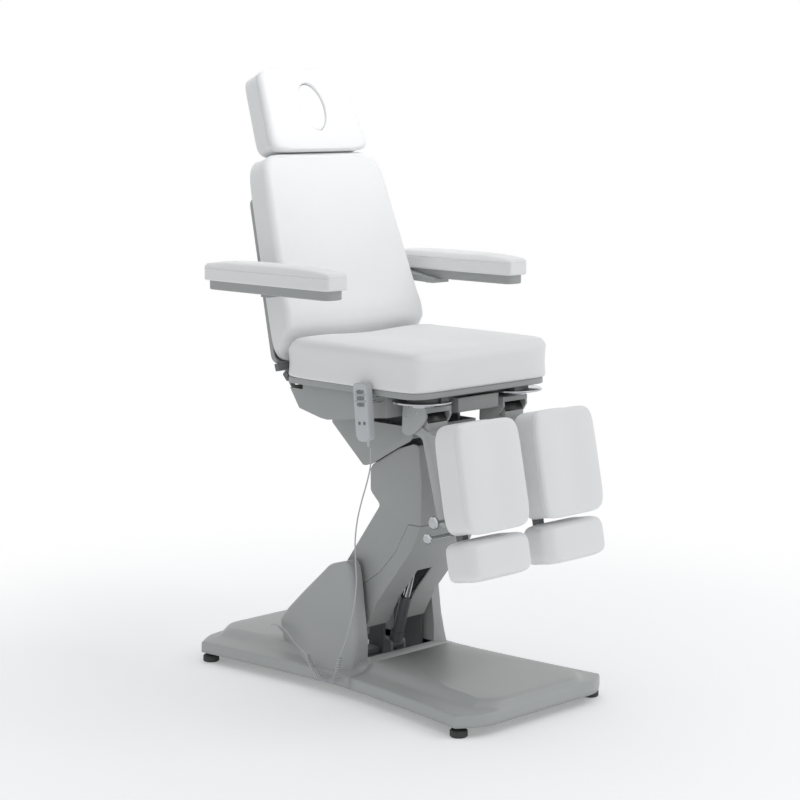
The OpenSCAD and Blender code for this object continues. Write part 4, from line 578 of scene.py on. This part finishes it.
# Upholstery. Foam on boards under white artificial leather, sewn along the edge of each front
# panel. A pad is rings round a super-ellipse: up the drawn-in side, over the rim, then inwards.
def artificial_leather(name, light, dark):
    """Coated fabric: fine pebble grain, a soft sheen and slow unevenness where the foam gives."""
    made, tree, shader, place = blank_material(name)
    tinted(tree, shader, noise(tree, place, 5.0, 3.0), linear(dark), linear(light))
    shader.inputs["Roughness"].default_value = 0.47
    shader.inputs["Sheen Weight"].default_value = 0.08
    shader.inputs["Sheen Roughness"].default_value = 0.4
    # Pebbles of 1.2 mm, drawn at 2 mm so that they show in the render
    pebble = add_node(tree, "ShaderNodeTexVoronoi", {"Scale": 500.0}, {"Vector": (place, "Object")})
    slack = noise(tree, place, 16.0, 1.5)
    fine = add_node(tree, "ShaderNodeBump", {"Strength": 0.08, "Distance": 0.0004},
                    {"Height": (pebble, "Distance")})
    broad = add_node(tree, "ShaderNodeBump", {"Strength": 0.10, "Distance": 0.006},
                     {"Height": (slack, "Fac"), "Normal": (fine, 0)})
    tree.links.new(broad.outputs[0], shader.inputs["Normal"])
    return made


white_leather = artificial_leather("white_artificial_leather", "F1F1F1", "EDEEEE")
seam_deep, seam_wide, seam_reach = 0.0024, 0.0017, 0.004


def lobe(a, power):
    """The super-ellipse |x|^n + |y|^n = 1 at the angle a."""
    return np.stack([np.sign(f) * np.abs(f) ** (2 / power) for f in (np.cos(a), np.sin(a))], -1)


def outline_angles(columns, power):
    """Angles round the super-ellipse, spaced evenly by the sum of its length's and the angle's share,
    so that corners get enough of them."""
    a = np.linspace(0, 2 * pi, 40001)
    run = running(lobe(a, power))
    both = run / run[-1] + a / (2 * pi)
    return np.interp((np.arange(columns) + 0.5) * 2 / columns, both, a)


def side_profile(thick, rim_r, tuck, draw, seams, rows=26):
    """(inset, height) up the side: a tuck at the foot, a wall drawn in by draw sin(pi s)^1.2, and a
    quarter-round rim, with seams pressed in by exp(-(d / width)^2)."""
    foot = np.array([[tuck * 1.6, 0.0], [tuck * 0.7, tuck * 0.35], [tuck * 0.2, tuck]])
    wall_z = np.linspace(tuck * 1.6, thick - rim_r, rows)
    share = (wall_z - wall_z[0]) / (wall_z[-1] - wall_z[0])
    wall = np.stack([draw * np.sin(pi * share) ** 1.2, wall_z], 1)
    a = np.linspace(0, pi / 2, 12)[1:]
    rim_arc = np.stack([rim_r * (1 - np.cos(a)), thick - rim_r * (1 - np.sin(a))], 1)
    path = np.vstack([foot, wall, rim_arc])
    run = running(path)
    spots = [np.interp(h, path[:, 1], run) for h in seams]
    near = [np.linspace(p - seam_reach, p + seam_reach, 13) for p in spots]
    at = np.unique(np.concatenate([run, *near]).clip(0, run[-1]))
    dense = np.stack([np.interp(at, run, path[:, k]) for k in (0, 1)], 1)
    for p in spots:
        dense[:, 0] += seam_deep * np.exp(-(((at - p) / seam_wide) ** 2))
    return dense


def pad_points(half_low, half_top, long, thick, crown, dish, profile, power, falls=None,
               far_power=None, columns=208):
    """Rings of a pad lying on XY from y = 0 to its length. With x and y from -1 to 1 the top is
    thick + crown (1 - x^4)(1 - y^4) - dish exp(-4 x^2)(1 - y^4)."""
    a = outline_angles(columns, far_power or power)
    outline = np.where(np.sin(a)[:, None] > 0, lobe(a, far_power or power), lobe(a, power))
    half = (half_low + half_top) / 2
    inner = np.linspace(profile[-1, 0], half * 0.995, 22)[1:]
    inset = np.concatenate([profile[:, 0], inner])
    height = np.concatenate([profile[:, 1], np.full(len(inner), thick)])
    top = np.concatenate([np.clip((profile[:, 1] / thick - 0.8) / 0.2, 0, 1) ** 2, np.ones(len(inner))])
    q = outline[None] * np.stack([1 - inset / half, 1 - inset / max(long / 2, half)], -1)[:, None]
    y = long * (1 + q[..., 1]) / 2
    width = half_low + (half_top - half_low) * y / long
    z = height[:, None] + top[:, None] * (crown * (1 - q[..., 0]**4) * (1 - q[..., 1]**4)
                                          - dish * np.exp(-(q[..., 0] / 0.5)**2) * (1 - q[..., 1]**4))
    if falls is not None:
        z = z * np.interp(y / long, falls[:, 0], falls[:, 1])
    points = np.stack([q[..., 0] * width, y, z], -1)
    return points, len(inset), columns


def pad_piece(name, points, rows, columns, place):
    """Closes a pad's rings with its foot and its middle and puts it in place."""
    return as_piece(name, place(points.reshape(-1, 3)), closed_faces(rows, columns))


def smooth_table(table, samples=160):
    """A table of shares, resampled on the cubic Hermite curve through its rows."""
    t = np.array(table)
    x = np.linspace(t[0, 0], t[-1, 0], samples)
    slope = np.gradient(t[:, 1], t[:, 0])
    k = np.clip(np.searchsorted(t[:, 0], x, side="right") - 1, 0, len(t) - 2)
    h = t[k + 1, 0] - t[k, 0]
    u = (x - t[k, 0]) / h
    y = ((2 * u**3 - 3 * u**2 + 1) * t[k, 1] + (u**3 - 2 * u**2 + u) * h * slope[k]
         + (3 * u**2 - 2 * u**3) * t[k + 1, 1] + (u**3 - u**2) * h * slope[k + 1])
    return np.stack([x, y], 1)


# Seat cushion. One thick foam block, 570 by 572 by 112 mm, its middle dished between raised sides
# and its front rounded down over the knees.
seat_falls = smooth_table([[0, 0.42], [0.012, 0.62], [0.035, 0.78], [0.07, 0.91], [0.12, 1.0],
                           [0.2, 1.0], [0.9, 1.0], [0.97, 1.0], [0.985, 0.97], [1, 0.93]])
seat_half, seat_long, seat_thick, seat_rear_y, seat_foot_z = 0.285, 0.572, 0.112, 0.19808, 0.9243
seat_profile = side_profile(seat_thick, 0.024, 0.004, 0.002, [])
seat_points = pad_points(seat_half, seat_half, seat_long, seat_thick, 0.010, 0.014, seat_profile, 8,
                         seat_falls, far_power=10)
seat = pad_piece("seat_cushion_cover", *seat_points,
                 lambda p: np.stack([-p[:, 0], seat_rear_y - p[:, 1], seat_foot_z + p[:, 2]], 1))
finish(seat, "seat", "leatherette", white_leather, "seat_cushion")

# Back cushion. Foam on the steel shell, 584 mm wide at the seat and 464 mm at the top; its foot
# curls over the seat's rear corner. The back leans 18 degrees.
back_foot, back_turn = np.array([0, 0.21808, 0.9543]), np.array(Matrix.Rotation(radians(72), 3, "X"))


def on_back(p):
    """From the back's own frame, X across, Y up the back, Z to the front, to the chair's."""
    return np.asarray(p) @ back_turn.T + back_foot


back_falls = smooth_table([[0, 0.06], [0.02, 0.08], [0.05, 0.26], [0.09, 0.48], [0.12, 0.76],
                           [0.14, 0.93], [0.17, 1], [0.3, 1], [1, 1]])
back_low, back_top, back_long, back_thick, back_lift = 0.292, 0.232, 0.610, 0.084, 0.0141
back_profile = side_profile(back_thick, 0.020, 0.004, 0.0015, [])
back_points = pad_points(back_low, back_top, back_long, back_thick, 0.008, 0.013, back_profile, 10,
                         back_falls)
back = pad_piece("back_cushion_cover", *back_points, lambda p: on_back(p + [0, 0, back_lift]))
finish(back, "back", "leatherette", white_leather, "back_cushion")

# Head cushion. A tapered block with an oval face hole, closed by a plug of the same covering,
# which lifts out. The hole's wall goes right through the foam.
head_turn, head_at = np.array(Matrix.Rotation(radians(-6.3), 3, "X")), np.array([0, 0.610, 0.0265])
head_len, head_t, head_crown, head_drop = 0.260, 0.084, 0.007, 0.012
head_low, head_top, face_half, face_rise = 0.196, 0.162, 0.050, 0.077
head_power, rim_span, lip_share, lip_round = 9, 0.10, 0.06, 0.006
plug_half, plug_rise = 0.0495, 0.0765


def on_head(p):
    """From the head cushion's own frame, leaning on the back's, to the chair's."""
    return on_back(np.asarray(p) @ head_turn.T + head_at)


def head_points(columns=160):
    """Rings up the side, across the front towards the oval and down its wall. A share of 1 is the rim
    and 0 the hole: p = oval + share (outline - oval), full by crown (1 - share^2) in front."""
    side = side_profile(head_t, 0.017, 0.004, 0.0015, [0.060])
    share_in = np.linspace(1 - side[-1, 0] / rim_span, rim_span, 16)[1:]
    lip_a = np.linspace(0, pi / 2, 6)[1:]
    share = np.concatenate([1 - side[:, 0] / rim_span, share_in, lip_share * (1 - np.sin(lip_a)),
                            [0, 0], [0.5]])
    height = np.concatenate([side[:, 1], np.full(len(share_in), head_t),
                             head_t - lip_round * (1 - np.cos(lip_a)), [head_t * 0.5, 0], [0]])
    swell = np.concatenate([np.clip((side[:, 1] / head_t - 0.8) / 0.2, 0, 1) ** 2,
                            np.ones(len(share_in) + len(lip_a)), [0, 0, 0]])
    a = outline_angles(columns, head_power)
    o = lobe(a, head_power)
    y_out = head_len * (1 + o[:, 1]) / 2
    outer = np.stack([o[:, 0] * (head_low + (head_top - head_low) * y_out / head_len), y_out], 1)
    inner = np.stack([face_half * np.cos(a), head_len / 2 + face_rise * np.sin(a)], 1)
    p = inner[None] + (outer - inner)[None] * share[:, None, None]
    z = height[:, None] + (swell * head_crown * (1 - share**2))[:, None] * np.ones(columns)
    y = p[..., 1] - share[:, None] * head_drop * (z / head_t) ** 3 * (1 - p[..., 1] / head_len)
    return np.stack([p[..., 0], y, z], -1)


points = head_points()
rows, columns = points.shape[:2]
last, ahead = (rows - 1) * columns + np.arange(columns), np.roll(np.arange(columns), -1)
foot_faces = np.stack([last, (rows - 1) * columns + ahead, ahead, np.arange(columns)], 1).tolist()
head = as_piece("head_cushion_cover", on_head(points.reshape(-1, 3)),
                grid_faces(rows, columns) + foot_faces)
finish(head, "headrest", "leatherette", white_leather, "head_cushion")


def plug_points(columns=96):
    """An oval plug, rounded in front: (half r cos a, rise r sin a) at the height h of its thickness."""
    r = np.array([0.80, 0.9, 0.97, 1, 1, 0.995, 0.97, 0.93, 0.88, 0.8, 0.6, 0.4, 0.2, 0.03])
    h = np.array([0.05, 0.06, 0.1, 0.2, 0.85, 0.93, 0.975, 0.998, 1.01, 1.02, 1.03, 1.036, 1.04, 1.04])
    a = 2 * pi * np.arange(columns) / columns
    return np.stack([plug_half * r[:, None] * np.cos(a),
                     head_len / 2 + plug_rise * r[:, None] * np.sin(a),
                     np.repeat(h[:, None] * head_t, columns, axis=1)], -1)


points = plug_points()
plug = pad_piece("face_plug_cover", points, *points.shape[:2], on_head)
finish(plug, "face_plug", "leatherette", white_leather, "face_plug")

# Armrests. A long pad with a sewn seam between its wall and its crowned top lies on a grey ABS
# tray, which turns on a link at the back's side.
arm_half, arm_long, arm_thick, arm_place = 0.045, 0.541, 0.047, [0.367, -0.1564, 1.1993]
tray_round_below = 1.173
for side, name in ((-1, "left"), (1, "right")):
    profile = side_profile(arm_thick, 0.010, 0.003, 0.0008, [0.0365])
    points = pad_points(arm_half, arm_half, arm_long, arm_thick, 0.014, 0.0, profile, 10)
    pad = pad_piece("arm_pad_cover_" + name, *points, lambda p: (p + arm_place) * [side, 1, 1])
    finish(pad, "armrest_" + name, "leatherette", white_leather, "arm_pad_" + name)
    eased("arm_tray_" + name, "armrest_" + name, "cover", pan_abs,
          [(0.004, 50, lambda e: bool((e[:, 2] < tray_round_below).all()))])
    eased("arm_link_" + name, "arm_link_" + name, "cover", pan_abs, [(0.0015, 50, every_edge)])

# Leg rests. Two separate pads on painted castings, each hung from a chromed swivel disc under the
# seat; the foot pad slides and turns on its own. Clamp knobs are chromed.
leg_lean = radians(-11)
leg_turn, knee = np.array(Matrix.Rotation(leg_lean, 3, "X")), np.array([0.157, -0.28292, 0.8183])
casting = powder_coat("painted_casting", "B6B8B7", 0.42)
# Rivet heads, (x, radius) out from the hood's cheek, and their places in Y and Z from the knee
rivet = np.array([[207.9, 3.2], [208.3, 3.2], [208.7, 2.8], [209.0, 1.8], [209.1, 0.5]]) / 1000
rivet_places = ((0.023, 0.025), (-0.016, 0.042))
# Black strip, 0.5 mm proud of the drum that turns in the hood's mouth: painted shade standing for the
# dark recess inside the mouth
shade_strip_a, shade_strip_out, shade_strip_in, shade_strip_half = np.radians(np.linspace(16, 72, 15)), 0.0515, 0.0505, 0.0375
calf_low, calf_top, calf_long, calf_thick = 0.123, 0.127, 0.304, 0.095
calf_back, calf_drop = -0.146, -0.004
foot_half, foot_long, foot_thick, foot_back, foot_drop = 0.129, 0.114, 0.089, -0.139, -0.322
for side, name in ((-1, "left"), (1, "right")):
    def on_leg(p, back, top):
        """A pad's own frame, Y down the leg and Z to the front, put on this leg rest."""
        q = np.stack([p[:, 0], back - p[:, 2], top - p[:, 1]], 1) @ leg_turn.T + knee
        return q * [side, 1, 1]

    profile = side_profile(calf_thick, 0.011, 0.0075, 0.0018, [0.0835])
    points = pad_points(calf_low, calf_top, calf_long, calf_thick, 0.009, 0.009, profile, 7)
    calf = pad_piece("calf_pad_cover_" + name, *points, lambda p: on_leg(p, calf_back, calf_drop))
    finish(calf, "leg_" + name, "leatherette", white_leather, "calf_pad_" + name)
    profile = side_profile(foot_thick, 0.030, 0.006, 0.001, [])
    points = pad_points(foot_half, foot_half, foot_long, foot_thick, 0.013, 0.0, profile, 6)
    foot = pad_piece("foot_pad_cover_" + name, *points, lambda p: on_leg(p, foot_back, foot_drop))
    finish(foot, "foot_" + name, "leatherette", white_leather, "foot_pad_" + name)
    eased("knee_hood_" + name, "swivel_" + name, "casting", casting, [(0.002, 40, every_edge)])
    rivets = [turned_x(rivet, knee[1] + y, knee[2] + z) for y, z in rivet_places]
    finish(as_piece("hood_rivets_" + name, *joined([(p * [side, 1, 1], f) for p, f in rivets])),
           "swivel_" + name, "chrome", chrome_plate)
    # Black strip laid on the drum's upper part: painted shade of the dark recess in the hood's mouth
    arc = np.concatenate([np.stack([-np.cos(a) * q, np.sin(a) * q], 1)
                          for a, q in ((shade_strip_a, shade_strip_out), (shade_strip_a[::-1], shade_strip_in))]) + knee[1:]
    strip = across(arc, side * (knee[0] - shade_strip_half), side * (knee[0] + shade_strip_half))
    finish(as_piece("drum_shade_strip_" + name, *strip), "leg_" + name, "rubber", black_coat)
    eased("leg_arm_" + name, "leg_" + name, "casting", casting, [(0.003, 40, every_edge)])
    eased("swivel_disc_" + name, "swivel_" + name, "chrome", chrome_plate, [(0.001, 60, every_edge)])
    for knob in ("length_knob_" + name, "angle_knob_" + name):
        eased(knob, knob, "chrome", chrome_plate, [(0.0008, 40, every_edge)])

# Handset. A pale grey ABS shell with two printed bands, three pairs of up and down keys on rockers
# and two memory keys, each rocker's cap in a chromed ring; a bent wire at the seat's edge holds it.
handset_at, handset_lean = np.array([-0.300, -0.18492, 0.8593]), radians(5)
handset_t, face_lift = 0.020, 0.0005
key_high, key_side, key_r = (0.058, 0.040, 0.022), 0.010, 0.0042
band_half_w, band_half_h, band_corner, band_edge = 0.0225, 0.0035, 0.003, 0.0004
band_high, hook_r = (0.031, 0.049), 0.0015


def on_handset(p):
    """From the handset's own frame, X out of its face, Y to the chair's rear and Z up, to the chair's."""
    p = np.asarray(p)
    y, z = (p[:, 1] * cos(handset_lean) + p[:, 2] * sin(handset_lean),
            p[:, 2] * cos(handset_lean) - p[:, 1] * sin(handset_lean))
    return np.stack([-p[:, 0], y, z], 1) + handset_at


def rounded_plate(x0, x1, half_w, half_h, corner, edge, steps=10):
    """A plate with round corners, its face edge eased: rings of the outline, the last drawn in by
    the edge."""
    a = np.linspace(0, pi / 2, steps)
    c = np.concatenate([np.stack([s[0] * (half_w - corner) + corner * np.cos(a + k * pi / 2),
                                  s[1] * (half_h - corner) + corner * np.sin(a + k * pi / 2)], 1)
                        for k, s in enumerate(((1, 1), (-1, 1), (-1, -1), (1, -1)))])
    ring = [np.column_stack([np.full(len(c), x), c * (1 - k / half_w)])
            for x, k in ((x0, 0), (x1 - edge, 0), (x1 - edge * 0.3, edge * 0.3), (x1, edge))]
    return np.concatenate(ring), closed_faces(len(ring), len(c))


shell_abs = moulded_abs("handset_abs", "C9CBCD", "C4C6C8", 0.4)
key_rubber = powder_coat("silicone_keys", "77797C", 0.6)
face_film = moulded_abs("printed_face_film", "B6B8BB", "B1B3B6", 0.5)
eased("handset_shell", "handset", "handset", shell_abs, [(0.0015, 50, every_edge)])
for name in ("height_rocker", "back_rocker", "tilt_rocker", "memory_key_one", "memory_key_two"):
    eased(name, name, "keys", key_rubber, [(0.0006, 50, every_edge)])
front = handset_t / 2
band, band_faces = rounded_plate(front, front + face_lift, band_half_w, band_half_h, band_corner,
                                 band_edge)
bands = [(on_handset(band + [0, 0, z]), band_faces) for z in band_high]
finish(as_piece("handset_face_bands", *joined(bands)), "handset", "handset", face_film)
cap = np.array([[front + 0.0011, key_r * 0.9], [front + 0.0019, key_r * 0.9],
                [front + 0.0023, key_r * 0.8], [front + 0.0024, key_r * 0.3]])
ring = np.array([[front + 0.0008, key_r * 0.92], [front + 0.0015, key_r * 0.92], [front + 0.0018, key_r],
                 [front + 0.0015, key_r * 1.1], [front + 0.0008, key_r * 1.1]])
for name, row in zip(("height_rocker", "back_rocker", "tilt_rocker"), key_high):
    for kind, profile, slot, material in (("_caps", cap, "keys", key_rubber),
                                          ("_rings", ring, "chrome", chrome_plate)):
        pair = [turned_x(profile, y, row) for y in (-key_side, key_side)]
        finish(as_piece(name + kind, *joined([(on_handset(p), f) for p, f in pair])),
               name, slot, material)
# Hook: bright drawn wire of 3 mm, bent into a loop behind the handset
hook_route = np.array([
    [-239, -199, 886], [-262, -199, 885], [-282, -199, 888], [-287, -199, 898], [-287.6, -199, 922],
    [-287.8, -196, 929], [-287.8, -185, 931], [-287.8, -174, 929], [-287.6, -171, 922],
    [-287, -171, 898], [-282, -171, 888], [-262, -171, 885], [-239, -171, 886]]) / 1000
finish(tube("handset_hook_wire", through(hook_route, cord_steps), hook_r, cord_sides), "seat", "chrome",
       chrome_plate)

size = {"cad": [list(map(float, c)) for c in cad_box],
        "visual": [list(map(float, c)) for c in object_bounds()]}
